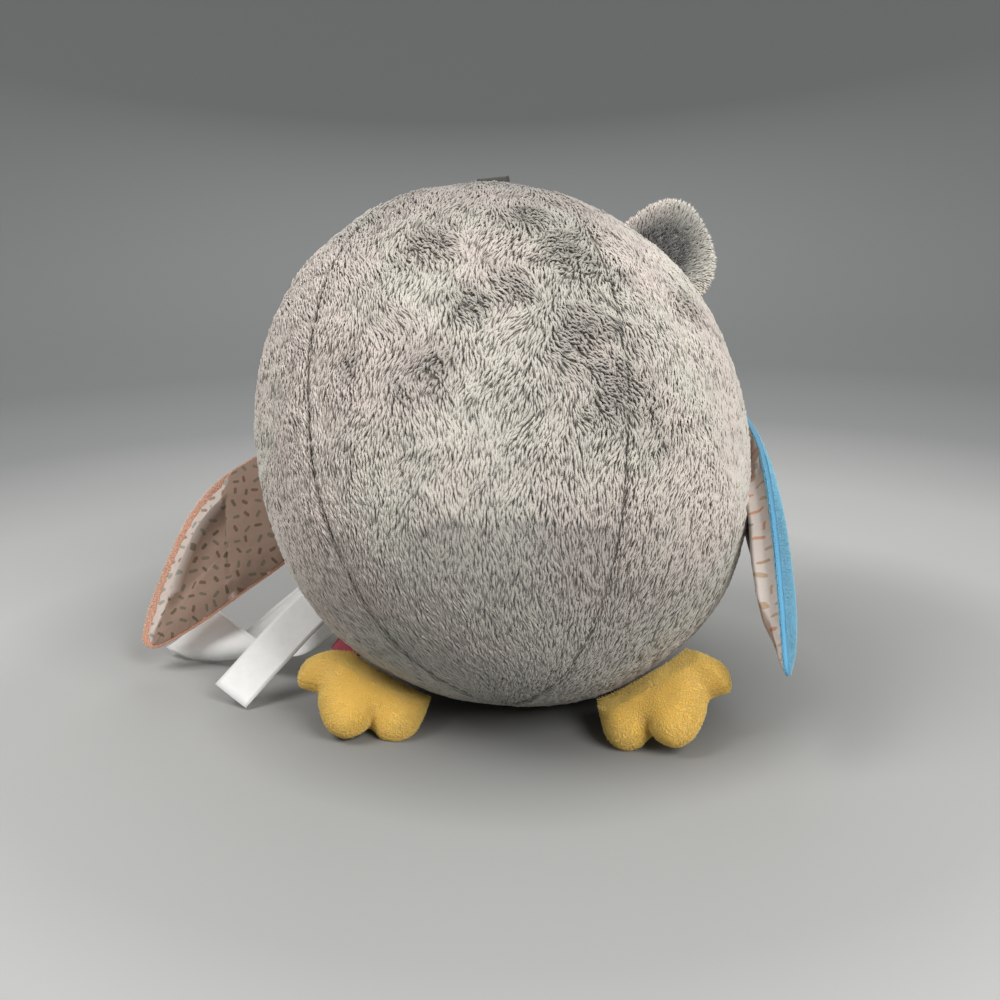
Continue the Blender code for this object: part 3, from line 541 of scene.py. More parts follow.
def skin_ways(directions):
    """The skin's outward unit vector, and the unit vector down its meridian."""
    step = 0.004
    longitude = np.arctan2(directions[:, 0], directions[:, 1])
    polar = np.arctan2(np.hypot(directions[:, 0], directions[:, 1]), directions[:, 2])
    around = np.stack([np.cos(longitude), -np.sin(longitude), 0.0 * longitude], axis=-1)
    down = np.cross(around, direction(longitude, polar))
    down *= np.sign((down * direction(longitude, polar + step)).sum(axis=-1, keepdims=True))
    here = skin(directions)
    downward = unit(skin(directions + step * down) - here)
    sideways = unit(skin(directions + step * around) - here)
    out = unit(np.cross(sideways, downward))
    return out * np.sign((out * here).sum(axis=-1, keepdims=True)), downward


def seam_distance(longitude, polar, left, right, top, bottom):
    """How far a place of a panel is from the nearest of its seams."""
    radius = BODY_HALF_WIDTH * np.sin(polar)
    distances = [np.abs(longitude - left) * radius, np.abs(longitude - right) * radius]
    if top > 0.0:
        distances.append((polar - top) * BODY_HALF_HEIGHT)
    if bottom < math.pi:
        distances.append((bottom - polar) * BODY_HALF_HEIGHT)
    return np.min(distances, axis=0)


golden_angle = math.pi * (3.0 - math.sqrt(5.0))
lock_index = np.arange(BODY_LOCKS) + 0.5
lock_rng = np.random.default_rng(11)
lock_jitter = LOCK_JITTER * math.sqrt(4.0 * math.pi / BODY_LOCKS)
lock_polar = np.arccos(1.0 - 2.0 * lock_index / BODY_LOCKS) + lock_rng.normal(0.0, lock_jitter, BODY_LOCKS)
lock_polar = np.clip(lock_polar, POLE / 3.0, math.pi - POLE / 3.0)
lock_longitude = golden_angle * lock_index + lock_rng.normal(0.0, lock_jitter, BODY_LOCKS) / np.sin(lock_polar)
lock_longitude = np.mod(lock_longitude, 2.0 * math.pi)


def bulge(directions):
    """How far the filling's lumps swell the skin."""
    return LUMP_RISE * ripple(directions * BODY_HALF_WIDTH, LUMP_WAVE, 5)


def stroked(points):
    """How deep each place lies in a patch that was stroked against the nap, and how far its comb is turned there."""
    ragged = 1.0 + 0.3 * ripple(points, 13.0 * MM, 31) + 0.25 * ripple(points, 6.0 * MM, 34)
    depth, turn = np.zeros(len(points)), np.zeros(len(points))
    for longitude, polar, radius, swing in STROKES:
        middle = skin(direction(math.radians(longitude), math.radians(polar)))
        inside = np.exp(-((np.linalg.norm(points - middle, axis=1) * ragged / (radius * MM)) ** 2))
        depth = np.maximum(depth, inside)
        turn += swing * inside
    return depth, turn


def pressed_band(points, longitude, polar):
    """Where the back's nap lies flat and turned from the light, below a line across it."""
    line = BAND_POLAR + 0.03 * ripple(points, 24.0 * MM, 32)
    signed = np.mod(longitude + math.pi, 2.0 * math.pi) - math.pi
    inside = ramped((signed - BAND_LONGITUDES[0]) / 0.15) * ramped((BAND_LONGITUDES[1] - signed) / 0.15)
    return ramped((polar - line) / 0.03) * inside


def near_seam(distance):
    """One at a seam, falling to nought over its width."""
    return np.clip(1.0 - distance / SEAM_WIDTH, 0.0, 1.0)


def own_locks(left, right, top, bottom):
    """A panel's locks, but for those at the bare line of a seam: longitude, polar angle, way and seam distance."""
    middle = (left + right) / 2.0
    turn = np.mod(lock_longitude - middle + math.pi, 2.0 * math.pi) - math.pi + middle
    mine = (turn > left) & (turn < right) & (lock_polar > top) & (lock_polar < bottom)
    turn, down = turn[mine], lock_polar[mine]
    ways = direction(turn, down)
    distance = seam_distance(turn, down, left, right, top, bottom)
    kept = distance > SEAM_BARE * np.clip(0.85 + 0.6 * ripple(skin(ways), 9.0 * MM, 36), 0.1, 1.0)
    return turn[kept], down[kept], ways[kept], distance[kept]


def combed_pile(turn, down, ways, distance):
    """The locks of a panel: combed downward in swirls, ruffled, pressed or parted in places, short near the seams."""
    count = len(ways)
    roots = skin(ways, bulge(ways) - BACKING_DEPTH - SEAM_DIP * near_seam(distance) ** 2 - 0.1 * MM)
    out, downward = skin_ways(ways)
    ruffled, swing = stroked(roots)
    low = ramped((down - LOW_POLAR) / 0.35)
    # Where the nap is pressed: the band where it lies flat, and the low part of the ball. The locks lie lower there,
    # and their darker tone is painted shade.
    pressed = np.maximum(pressed_band(roots, turn, down), 0.95 * low)
    # Painted shade that darkens the crown.
    crown_shade = ramped((CROWN_SHADE_POLAR - down) / 0.6)
    # Painted light that lightens the sides above the low part; the locks also lie a little lower there.
    aside = ramped((0.85 - np.cos(turn)) / 0.3) * (1.0 - low)
    wild = 1.0 - CALM_SHARE * ramped((down - CALM_POLAR[0]) / (CALM_POLAR[1] - CALM_POLAR[0]))
    parted = np.exp(-((ripple(roots, PARTING_WAVE, 37) / PARTING_WIDTH) ** 2)) * ramped(1.4 * wild - 0.4)
    angle = wild * ripples(roots, COMB_WAVES)
    fine, finest = ripple(roots, 5.5 * MM, 23), ripple(roots, 3.0 * MM, 35)
    angle += (FINE_TURN + 0.4 * ruffled) * fine + 0.8 * ruffled * finest + swing
    angle *= np.clip(distance / SEAM_CALM, 0.45, 1.0)
    angle += np.random.default_rng(24).normal(0.0, STRAY_TURN, count)
    comb = downward * np.cos(angle)[:, None] + np.cross(out, downward) * np.sin(angle)[:, None]
    stand = ramped(STAND + wild * ripples(roots, STAND_WAVES[:1]) + ripples(roots, STAND_WAVES[1:]))
    stand = np.maximum(stand - 0.3 * pressed, 1.4 * ruffled)
    size = np.random.default_rng(27).uniform(0.8, 1.2, count) * (0.6 + 0.4 * ramped(distance / SEAM_CALM))
    reach = LOCK_REACH * size * (1.1 - 0.32 * stand) * (1.0 - 0.35 * ruffled)
    rise = LOCK_RISE * size * (0.7 + 0.65 * stand)
    rise *= 1.0 - LOWERED[0] * pressed - LOWERED[1] * parted - LOWERED[2] * aside
    width = LOCK_WIDTH * np.random.default_rng(28).uniform(0.75, 1.25, count)
    points, faces, marks = pile(roots, out, comb, reach, rise, width, 29, sway=LOCK_SWAY, lift=LOCK_LIFT_SHARE)
    # The locks' tone takes the painted shade and painted light above, with a little random tone, over each lock's own
    # random tone.
    shade = sum(share * part for share, part in zip(SHADES, (ruffled, pressed, crown_shade, parted, aside)))
    shade += 0.3 * wild * ripple(roots, 11.0 * MM, 33)
    marks["tuft"] = 0.3 + 0.4 * marks["tuft"] - each_point(shade)
    return points, faces, marks


def panel(name, left, right, top, bottom, finish):
    """A panel between two meridians and two polar angles: its backing and the locks that grow on it."""
    rows = round((bottom - top) * BODY_HALF_HEIGHT / GRID_STEP) + 1
    columns = round((right - left) * BODY_HALF_WIDTH / GRID_STEP) + 1
    down = np.linspace(max(top, POLE), min(bottom, math.pi - POLE), rows)
    polar, longitude = np.meshgrid(down, np.linspace(left, right, columns), indexing="ij")
    near = near_seam(seam_distance(longitude, polar, left, right, top, bottom))
    ways = direction(longitude, polar)
    outer = skin(ways, bulge(ways) - BACKING_DEPTH - SEAM_DIP * near**2)
    inner = skin(ways, -PLUSH_THICKNESS - INNER_DIP_SHARE * SEAM_DIP * near**2)
    locks = combed_pile(*own_locks(left, right, top, bottom))
    made = sewn(name + "_pile", joined(shell(in_world(outer), in_world(inner)), locks), finish, "body", [name])


front_seam = 2.0 * math.pi - SIDE_SEAM
panel("back_panel", -BACK_HALF_ANGLE, BACK_HALF_ANGLE, 0.0, math.pi, grey_pile)
panel("left_side_panel", BACK_HALF_ANGLE, SIDE_SEAM, 0.0, math.pi, grey_pile)
panel("right_side_panel", -SIDE_SEAM, -BACK_HALF_ANGLE, 0.0, math.pi, grey_pile)
panel("face_panel", SIDE_SEAM, front_seam, 0.0, FACE_SEAM, grey_pile)
panel("belly_panel", SIDE_SEAM, front_seam, FACE_SEAM, math.pi, cream_pile)

# The filling
# Loose polyester fibre that packs the ball, a little lumpy where handfuls of it meet, seen only where the toy is
# opened.

filling = Finish("polyester_fibre", roughness=1.0, specular_ior_level=0.1, sheen_weight=0.3)
fibre = filling.noise(900.0, 6.0, 0.7)
filling_colour = filling.ramp(fibre, (0.3, (205, 205, 203)), (0.7, (240, 240, 238)))
filling_fibre = filling.finished(filling_colour, filling.bump(fibre, 0.4 * MM))
FILLING_DEPTH = 3.9 * MM
FILLING_LUMP = 0.35 * MM
FILLING_LUMP_WAVE = 14.0 * MM
FILLING_END_DEPTH = 4.2 * MM


def closed_rings(ends, rings):
    """A closed solid in the world from a first point through closed rings to a last point, faces outward."""
    first, last = in_world(ends)
    rings = in_world(rings)
    count = rings.shape[1]
    points = np.concatenate([first[None], rings.reshape(-1, 3), last[None]])
    quads = grid_quads(len(rings), count, closed=True, start=1)
    here = np.arange(count)
    after = (here + 1) % count
    end = len(points) - 1
    top = np.stack([0 * here, 1 + after, 1 + here], axis=-1)
    base = np.stack([0 * here + end, end - count + here, end - count + after], axis=-1)
    corners = points[np.concatenate([top, base, quads[:, :3], quads[:, [0, 2, 3]]])]
    if np.einsum("ij,ij->i", corners[:, 0], np.cross(corners[:, 1], corners[:, 2])).sum() < 0.0:
        top, base, quads = top[:, ::-1], base[:, ::-1], quads[:, ::-1]
    return points, [top, base, quads], bare_marks(len(points))


down = np.linspace(0.0, math.pi, 42)[1:-1]
polar, longitude = np.meshgrid(down, np.linspace(0, 2 * math.pi, 81)[:-1], indexing="ij")
ways = direction(longitude, polar)
lumps = FILLING_LUMP * (ripple(ways * BODY_HALF_WIDTH, FILLING_LUMP_WAVE, 41) - 1.0) - FILLING_DEPTH
ends = skin(direction(np.zeros(2), np.array([0.0, math.pi])), -FILLING_END_DEPTH)
ball = closed_rings(ends, skin(ways, lumps))
stuffing = sewn("body_filling", ball, filling_fibre, "body", ["body_stuffing"])

# The ears
# Two cupped layers of the same plush, sewn together round the edge and into the side seams. Their pile is combed
# outward at the rim, where it is shorter and stands out past the edge.

GAP = 0.3 * MM
ROOT_HALF_THICKNESS = 1.5 * MM
ROOT_SLOPE_SHARE = 0.55
EDGE_HALF_THICKNESS = 0.5 * MM
EAR_POLAR = math.radians(40.0)
EAR_HALF_BASE = 16.5 * MM
EAR_HEIGHT = 24.5 * MM
EAR_EDGE_SHARES = (
    (-0.97, 0.24), (-0.86, 0.56), (-0.60, 0.84), (-0.24, 0.96), (0.18, 0.90), (0.60, 0.77), (0.98, 0.58), (1.24, 0.30),
)
EAR_LAYER = 2.4 * MM
EAR_CUP = 8.0 * MM
EAR_LOWER_END = 3.0 * MM
EAR_INSET = 2.2 * MM
EAR_LOCK_REACH = 2.7 * MM
EAR_LOCK_RISE = 0.9 * MM
EAR_LOCK_WIDTH = 0.45 * MM
EAR_LOCK_SPACING = 0.55 * MM
EAR_CENTRE_SHARE = 0.42
EAR_RIM_SHARE = 0.75
# Painted highlight along the back layer's rim and painted shade in its hollow near the root.
EAR_RIM_HIGHLIGHT = 1.6
EAR_HOLLOW_SHADE = 3.7
EAR_FOLDS = {"left": math.radians(-32.0), "right": math.radians(8.0)}
SIDES = {"left": 1.0, "right": -1.0}


def through(points, steps):
    """Points along a smooth curve through the given ones, which keeps both ends."""
    points = np.array(points)
    padded = np.vstack([2.0 * points[0] - points[1], points, 2.0 * points[-1] - points[-2]])
    a, b, c, d = (padded[k : len(padded) - 3 + k, None] for k in range(4))
    t = (np.arange(steps) / steps)[None, :, None]
    bend = (2.0 * a - 5.0 * b + 4.0 * c - d) * t**2 + (3.0 * b - a - 3.0 * c + d) * t**3
    curve = b + ((c - a) * t + bend) / 2.0
    return np.vstack([curve.reshape(-1, points.shape[1]), points[-1]])


def seam_frame(longitude, polar, side, out, fold=0.0):
    """A frame over the skin: +X along the meridian, +Y out of the skin, +Z toward the face, folded back about X."""
    step = 0.01
    along = unit(skin(direction(longitude, polar + step)) - skin(direction(longitude, polar - step)))
    around = skin(direction(longitude + step, polar)) - skin(direction(longitude - step, polar))
    outward = unit(np.cross(around, along))
    point = skin(direction(longitude, polar))
    outward = outward * np.sign(outward @ point)
    x_axis = side * along
    columns = np.column_stack([x_axis, outward, np.cross(x_axis, outward)])
    return columns @ axis_turn(0, -fold), point + out * outward


def root_edge(longitude, polar, side, length, out, count=9, longer=0.0):
    """A limb's sewn edge in its own frame as (down, outward) places, from the crown's side down, just over the skin."""
    columns, origin = seam_frame(longitude, polar, side, out)
    marks = polar + np.linspace(-0.5 * length, 0.5 * length + longer, count) / BODY_HALF_HEIGHT
    points = (skin(direction(longitude, marks), GAP) - origin) @ columns
    return np.column_stack([side * points[:, 0], points[:, 1]])


def limb_outline(root, edge, steps):
    """A closed outline of (down, outward) places: the free edge and then the sewn edge back up."""
    free = through([root[0], *edge, root[-1]], steps)
    return np.vstack([free[:-1], root[:0:-1]])


def crown(half_thickness, power=2.0):
    """A swelling height over share and outward place, round at the edge and held down near the sewn root."""

    def height(share, outward):
        swell = half_thickness * np.sqrt(np.clip(1.0 - share**power, 0.0, None))
        round_end = np.sqrt(np.clip(ROOT_HALF_THICKNESS**2 - outward**2, 0.0, None))
        cap = np.where(outward > 0.0, ROOT_HALF_THICKNESS + ROOT_SLOPE_SHARE * outward, round_end)
        return np.minimum(swell, cap)

    return height


class Limb:
    """A sewn limb's outline about a centre, bent toward the back by a cup at its edges and a curl at its free end."""

    def __init__(self, longitude, polar, side, fold, outline, centre, half_width, reach, cup=0.0, curl=0.0):
        self.side = side
        self.outline = outline
        self.centre = np.array(centre)
        self.half_width, self.reach, self.cup, self.curl = half_width, reach, cup, curl
        self.columns, self.origin = seam_frame(longitude, polar, side, GAP + ROOT_HALF_THICKNESS, fold)

    def flat(self, share):
        """The outline shrunk about the centre: one row of (down, outward) places for each share."""
        share = np.atleast_1d(share)[:, None, None]
        return self.centre + share * (self.outline - self.centre)

    def bent(self, flat, heights):
        """Places of the owl's frame for (down, outward) places and heights toward the face."""
        across = flat[..., 0] / self.half_width
        outward = np.clip(flat[..., 1] / self.reach, 0.0, None)
        bend = self.cup * across**2 * outward + self.curl * outward**2
        local = np.stack([self.side * flat[..., 0], flat[..., 1], heights - bend], axis=-1)
        return local @ self.columns.T + self.origin

    def hearts(self, *heights):
        """The centre's places in the owl's frame at these heights."""
        return self.bent(np.stack([self.centre] * len(heights)), np.array(heights))

    def way(self, flat, heading):
        """Where a (down, outward) heading points in the owl's frame."""
        step = 0.2 * MM
        return unit(self.bent(flat + step * heading, 0.0 * flat[..., 0]) - self.bent(flat, 0.0 * flat[..., 0]))

    def way_out(self, flat):
        """Where the heading from the centre points in the owl's frame."""
        return self.way(flat, unit(flat - self.centre))


def strayed(comb, normals, stray, hug, seed):
    """Combs that each stray a little, laid along their surface by a share."""
    comb = unit(comb + stray * np.random.default_rng(seed).normal(size=comb.shape))
    return unit(comb - hug * (comb * normals).sum(axis=-1, keepdims=True) * normals)


def scatter(grid, spacing, seed):
    """Even places on a closed-ring grid: each row of it is walked at about one spacing, and every step is jittered.

    The grid's first three numbers are places, and the rest is carried along. It returns them and the normals.
    """
    rng = np.random.default_rng(seed)
    wide = np.concatenate([grid, grid[:, :1]], axis=1)
    a, b, c, d = wide[:-1, :-1], wide[:-1, 1:], wide[1:, 1:], wide[1:, :-1]
    area = np.linalg.norm(np.cross((c - a)[..., :3], (d - b)[..., :3]), axis=-1) / 2.0
    edges = np.cumsum(area.ravel())
    count = int(edges[-1] / spacing**2)
    at = np.searchsorted(edges, (np.arange(count) + rng.uniform(0.0, 1.0, count)) / count * edges[-1])
    at = np.minimum(at, len(edges) - 1)
    row, column = np.divmod(at, area.shape[1])
    u = np.mod(np.arange(count) * 0.7548776662, 1.0)[:, None]
    v = np.mod(np.arange(count) * 0.5698402910, 1.0)[:, None]
    a, b, c, d = (block[row, column] for block in (a, b, c, d))
    spots = a * (1 - u) * (1 - v) + b * u * (1 - v) + c * u * v + d * (1 - u) * v
    normals = np.cross(((b - a) * (1 - v) + (c - d) * v)[:, :3], ((d - a) * (1 - u) + (c - b) * u)[:, :3])
    return spots, unit(normals)


def ear_layer(side_name, layer_name, facing):
    """One layer of an ear: a backing that swells between its edge and its root, with locks combed outward."""
    side = SIDES[side_name]
    seat = (side * SIDE_SEAM, EAR_POLAR, side)
    root = root_edge(*seat, 2.0 * EAR_HALF_BASE, GAP + ROOT_HALF_THICKNESS, longer=EAR_LOWER_END)
    edge = np.array(EAR_EDGE_SHARES) * np.array([EAR_HALF_BASE - EAR_INSET, EAR_HEIGHT - EAR_INSET])
    centre = (0.0, EAR_CENTRE_SHARE * EAR_HEIGHT)
    outline = limb_outline(root, edge, 6)
    ear = Limb(*seat, EAR_FOLDS[side_name], outline, centre, EAR_HALF_BASE, EAR_HEIGHT, cup=EAR_CUP)
    share = np.linspace(0.06, 1.0, 16)
    flat = ear.flat(share)
    height = facing * np.maximum(0.5 * crown(EAR_LAYER)(share[:, None], flat[..., 1]), 0.4 * MM)
    outer = ear.bent(flat, height)
    inner = ear.bent(flat, 0.0 * height + facing * GAP / 2.0)
    cloth = closed_rings(ear.hearts(facing * 0.6 * EAR_LAYER, facing * GAP / 2.0), np.concatenate([outer, inner[::-1]]))
    carried = np.concatenate([outer, flat, np.broadcast_to(share[:, None, None], (*flat.shape[:2], 1))], axis=-1)
    spots, normals = scatter(carried, EAR_LOCK_SPACING, 51 + int(facing))
    normals *= np.sign(normals @ ear.columns[:, 2] * facing)[:, None]
    places = spots[:, 3:5]
    rim = ramped((spots[:, 5] - EAR_RIM_SHARE) / (1.0 - EAR_RIM_SHARE))
    heading = unit(places - np.array([0.0, -10.0 * MM])) * (1.0 - 0.7 * rim[:, None])
    heading = unit(heading + unit(places - ear.centre) * 0.7 * rim[:, None])
    comb = strayed(ear.way(places, heading), normals, 0.2, 1.0, 52)
    size = np.random.default_rng(53).uniform(0.75, 1.2, len(spots))
    size *= (0.6 + 0.4 * ramped(places[:, 1] / (4.0 * MM))) * (1.0 - 0.55 * rim)
    locks = pile(spots[:, :3], normals, comb, EAR_LOCK_REACH * size, EAR_LOCK_RISE * size, EAR_LOCK_WIDTH, 54)
    # The back layer's locks take a painted highlight along the rim and painted shade in the hollow near the root.
    if facing < 0.0:
        outward = np.hypot(places[:, 0] / EAR_HALF_BASE, places[:, 1] / EAR_HEIGHT)
        locks[2]["tuft"] += each_point(EAR_RIM_HIGHLIGHT * rim - EAR_HOLLOW_SHADE * ramped((0.85 - outward) / 0.4))
    body, name = f"{side_name}_ear", f"{side_name}_ear_{layer_name}"
    made = sewn(name + "_pile", joined(cloth, locks), grey_pile, body, [name])


for side_name in SIDES:
    ear_layer(side_name, "front", 1.0)
    ear_layer(side_name, "back", -1.0)

# The wings
# Leaf-shaped wings that hang from the side seams: a dish of brushed fleece turned over the edge, a little wadding,
# and a lining of printed cotton that reaches nearly to the edge, puckered along its seam.

WING_POLAR = math.radians(92.0)
WING_ROOT_LENGTH = 36.0 * MM
WING_REACH = 60.0 * MM
WING_DROP = 65.0 * MM
WING_EDGE_SHARES = (
    (0.24, 0.07), (0.47, 0.17), (0.64, 0.31), (0.76, 0.48), (0.86, 0.66), (0.93, 0.81),
    (0.97, 0.94), (0.93, 0.99), (0.84, 0.98), (0.62, 0.89), (0.38, 0.77), (0.14, 0.65),
)
WING_CENTRE_SHARES = (0.44, 0.55)
WING_CROWN = 4.6 * MM
POCKET_DEPTH = 1.6 * MM
RIM_SHARES = (1.0, 0.985, 0.95, 0.91, 0.87)
RIM_HEIGHTS = (0.5 * MM, 0.8 * MM, 0.9 * MM, 0.8 * MM, 0.6 * MM)
HEM_SHARES = (0.86, 0.83)
HEM_HEIGHT = 0.4 * MM
POCKET_SHARES = (0.7, 0.43, 0.05)
WING_FOLDS = {"left": math.radians(15.0), "right": math.radians(90.0)}
WING_SAG_SHARES = {"left": 0.0, "right": 0.46}
WING_CURLS = {"left": 2.0 * MM, "right": 15.0 * MM}
LINING_SHARES = (0.975, 0.095)
LINING_SWELLS = {"left": 3.3 * MM, "right": 5.5 * MM}
FLEECE_REACH = 0.8 * MM
FLEECE_RISE = 0.35 * MM
FLEECE_WIDTH = 0.3 * MM
FLEECE_SPACING = 0.42 * MM
# The colour of the lining's painted shade.
LINING_SHADOW = (186, 170, 158)
LINING_THICKNESS = 0.3 * MM
RIDGE_PLACE_SHARE = 0.72
RIDGE_RISE = 3.2 * MM
HOLLOW_DEPTH = 2.6 * MM
PUCKER_RISE = 0.32 * MM
DASH_SPACING = 4.0 * MM
DASH_HALF_LENGTH_SHARE = 0.18
DASH_HALF_WIDTH_SHARE = 0.13



def cotton_finish(name, ground, dashes):
    """Plain cotton printed with short round-ended dashes, one to a cell of a loose grid and turned any way.

    It carries a painted shade everywhere but on a strip along its free side, from just inside its ridge to its edge.
    A dash is the places of its cell nearer to a short line than half its width, in one of a few soft inks.
    """
    made = Finish(name, roughness=0.9, specular_ior_level=0.2, sheen_weight=0.15)
    flat = made.node("ShaderNodeUVMap", uv_map="flat").outputs[0]
    wander = made.noise(0.8, 1.0, 0.5, flat).outputs["Color"]
    moved = made.vector("MULTIPLY_ADD", {0: wander, 1: (0.35, 0.35, 0.0), 2: flat})
    scaled = made.vector("SCALE", {0: moved, 3: 0.01 / DASH_SPACING})
    random = made.node("ShaderNodeTexWhiteNoise", {"Vector": made.vector("FLOOR", {0: scaled})}, noise_dimensions="2D")
    heart = made.vector("MULTIPLY_ADD", {0: random.outputs["Color"], 1: (0.3, 0.3, 0.0), 2: (0.35, 0.35, 0.0)})
    centred = made.vector("SUBTRACT", {0: made.vector("FRACTION", {0: scaled}), 1: heart})
    angle = made.maths("MULTIPLY", random.outputs["Value"], math.pi)
    spun = made.node("ShaderNodeVectorRotate", {"Vector": centred, "Angle": angle}, rotation_type="Z_AXIS")
    parts = made.node("ShaderNodeSeparateXYZ", {0: spun})
    past_end = made.maths("SUBTRACT", made.maths("ABSOLUTE", parts.outputs[0]), DASH_HALF_LENGTH_SHARE)
    away = made.node("ShaderNodeCombineXYZ", {0: made.maths("MAXIMUM", past_end, 0.0), 1: parts.outputs[1]})
    away = made.vector("LENGTH", {0: away}).outputs["Value"]
    ragged = made.maths("MULTIPLY_ADD", made.noise(26.0, 3.0, 0.6, flat), 0.06, made.maths("SUBTRACT", away, 0.03))
    inside = made.ramp(ragged, (DASH_HALF_WIDTH_SHARE - 0.02, WHITE), (DASH_HALF_WIDTH_SHARE + 0.02, BLACK))
    ink = made.node("ShaderNodeSeparateXYZ", {0: random.outputs["Color"]}).outputs[2]
    colour = made.ramp(ink, *((k / len(dashes), dash) for k, dash in enumerate(dashes)))
    colour.color_ramp.interpolation = "CONSTANT"
    worn = made.maths("MULTIPLY", inside, made.maths("MULTIPLY_ADD", made.noise(9.0, 3.0, 0.6, flat), 0.4, 0.6))
    fibre = made.ramp(made.noise(60.0, 4.0, 0.7, flat), (0.3, 0.96 * np.array(ground)), (0.7, ground))
    weave = made.maths("ADD", made.ribs(flat, 9.0, 0.4, "X"), made.ribs(flat, 9.0, 0.4, "Y"))
    normal = made.bump(weave, 0.03 * MM, 0.8, made.bump(made.noise(2.2, 2.0, 0.5, flat), 0.8 * MM, 0.7))
    printed = made.mix("MIX", worn, fibre, colour)
    # The painted shade multiplies the print by the shadow colour where the lining is marked for it.
    return made.finished(made.mix("MULTIPLY", made.attribute("lining_shade"), printed, linear(LINING_SHADOW)), normal)


LEFT_INKS = ((150, 160, 145), (132, 126, 104), (148, 124, 104), (156, 162, 148))
RIGHT_INKS = ((186, 148, 110), (206, 140, 102), (150, 150, 136), (190, 160, 126))
LINING_FINISHES = {
    "left": cotton_finish("printed_cotton_left", (224, 207, 197), LEFT_INKS),
    "right": cotton_finish("printed_cotton_right", (224, 212, 203), RIGHT_INKS),
}
FLEECE_FINISHES = {
    "left": pile_finish("peach_fleece_nap", (240, 170, 138), (255, 214, 186), spread=0.12, sheen=0.4),
    "right": pile_finish("blue_fleece_nap", (96, 164, 200), (140, 208, 234), spread=0.12, sheen=0.4),
}
FLEECE_SLOTS = {"left": "peach_fleece", "right": "blue_fleece"}


def fleece_nap(leaf, grid, facing, seed):
    """Short locks on one face of the fleece, combed outward, and shorter where a free edge bends over."""
    found, normals = scatter(grid, FLEECE_SPACING, seed)
    outward = leaf.way_out(found[:, 3:5])
    toward = leaf.columns[:, 2] if facing > 0.0 else outward - leaf.columns[:, 2]
    normals *= np.sign((normals * toward).sum(axis=-1))[:, None]
    size = np.random.default_rng(seed + 5).uniform(0.8, 1.15, len(found))
    size *= 1.0 - 0.7 * (1.0 - found[:, 5]) * np.clip((found[:, 6] - 0.9) / 0.08, 0.0 if facing > 0.0 else 1.0, 1.0)
    comb = strayed(outward, normals, 0.35, 0.8, seed)
    return pile(found[:, :3], normals, comb, FLEECE_REACH * size, FLEECE_RISE * size, FLEECE_WIDTH, seed)


def wing_fleece(side_name, leaf, dome):
    """The fleece: a domed face, a rim and a hem turned over its edge, and a pocket behind the face."""
    body = f"{side_name}_wing"
    share = np.linspace(0.05, 1.0, 20)
    flat = leaf.flat(share)
    front = leaf.bent(flat, np.maximum(dome(share[:, None], flat[..., 1]) - 0.5 * MM, EDGE_HALF_THICKNESS))
    rim_flat, hem_flat, pocket_flat = map(leaf.flat, (RIM_SHARES, HEM_SHARES, POCKET_SHARES))
    rim = leaf.bent(rim_flat, 0.0 * rim_flat[..., 0] - np.array(RIM_HEIGHTS)[:, None])
    hem = leaf.bent(hem_flat, 0.0 * hem_flat[..., 0] - HEM_HEIGHT)
    depth = dome(np.array(POCKET_SHARES)[:, None], pocket_flat[..., 1]) - POCKET_DEPTH
    pocket = leaf.bent(pocket_flat, np.maximum(depth, -LINING_THICKNESS))
    hearts = leaf.hearts(WING_CROWN - 0.5 * MM, WING_CROWN - POCKET_DEPTH)
    free = np.broadcast_to(leading(leaf)[None, :, None], (len(share), len(leaf.outline), 1))
    edge = np.broadcast_to(share[:, None, None], free.shape)
    back_free = free[: len(RIM_SHARES)]
    face_grid = np.concatenate([front, flat, free, edge], axis=-1)
    rim_grid = np.concatenate([rim, rim_flat, back_free, back_free], axis=-1)
    cloth = closed_rings(hearts, np.concatenate([front, rim, hem, pocket]))
    part = joined(cloth, fleece_nap(leaf, face_grid, 1.0, 61), fleece_nap(leaf, rim_grid, -1.0, 62))
    finish, slot = FLEECE_FINISHES[side_name], FLEECE_SLOTS[side_name]
    made = sewn(f"{body}_fleece_nap", part, finish, body, [f"{body}_fleece"])


def wing_batting(side_name, leaf, dome):
    """The wadding that fills the fleece's pocket, a little lumpy."""
    body = f"{side_name}_wing"
    share = np.linspace(0.05, 0.82, 8)
    flat = leaf.flat(share)
    lumps = 0.1 * MM * ripple(np.concatenate([flat, flat[..., :1]], axis=-1), 8.0 * MM, 64)
    top = np.maximum(dome(share[:, None], flat[..., 1]) - 2.0 * MM, 0.0) - lumps
    rings = [leaf.bent(flat, np.maximum(top, 0.1 * MM)), leaf.bent(flat[::-1], 0.0 * top - 0.3 * MM)]
    batt = closed_rings(leaf.hearts(WING_CROWN - 2.2 * MM, -0.3 * MM), np.concatenate(rings))
    made = sewn(f"{body}_batting", batt, filling_fibre, body, [f"{body}_wadding"])


def leading(leaf):
    """How far each place of the outline belongs to the free side, which runs from the root's top to the tip."""
    spokes = unit(leaf.outline - leaf.centre)
    tip = unit(leaf.outline[np.argmax(leaf.outline.sum(axis=1))] - leaf.centre)
    ahead = (spokes[:, 1] * tip[0] - spokes[:, 0] * tip[1]) * np.clip(spokes[:, 1] / 0.3, 0.0, 1.0)
    return np.clip(ahead / 0.2 + 0.3, 0.0, 1.0) * (spokes[:, 1] > 0.0)


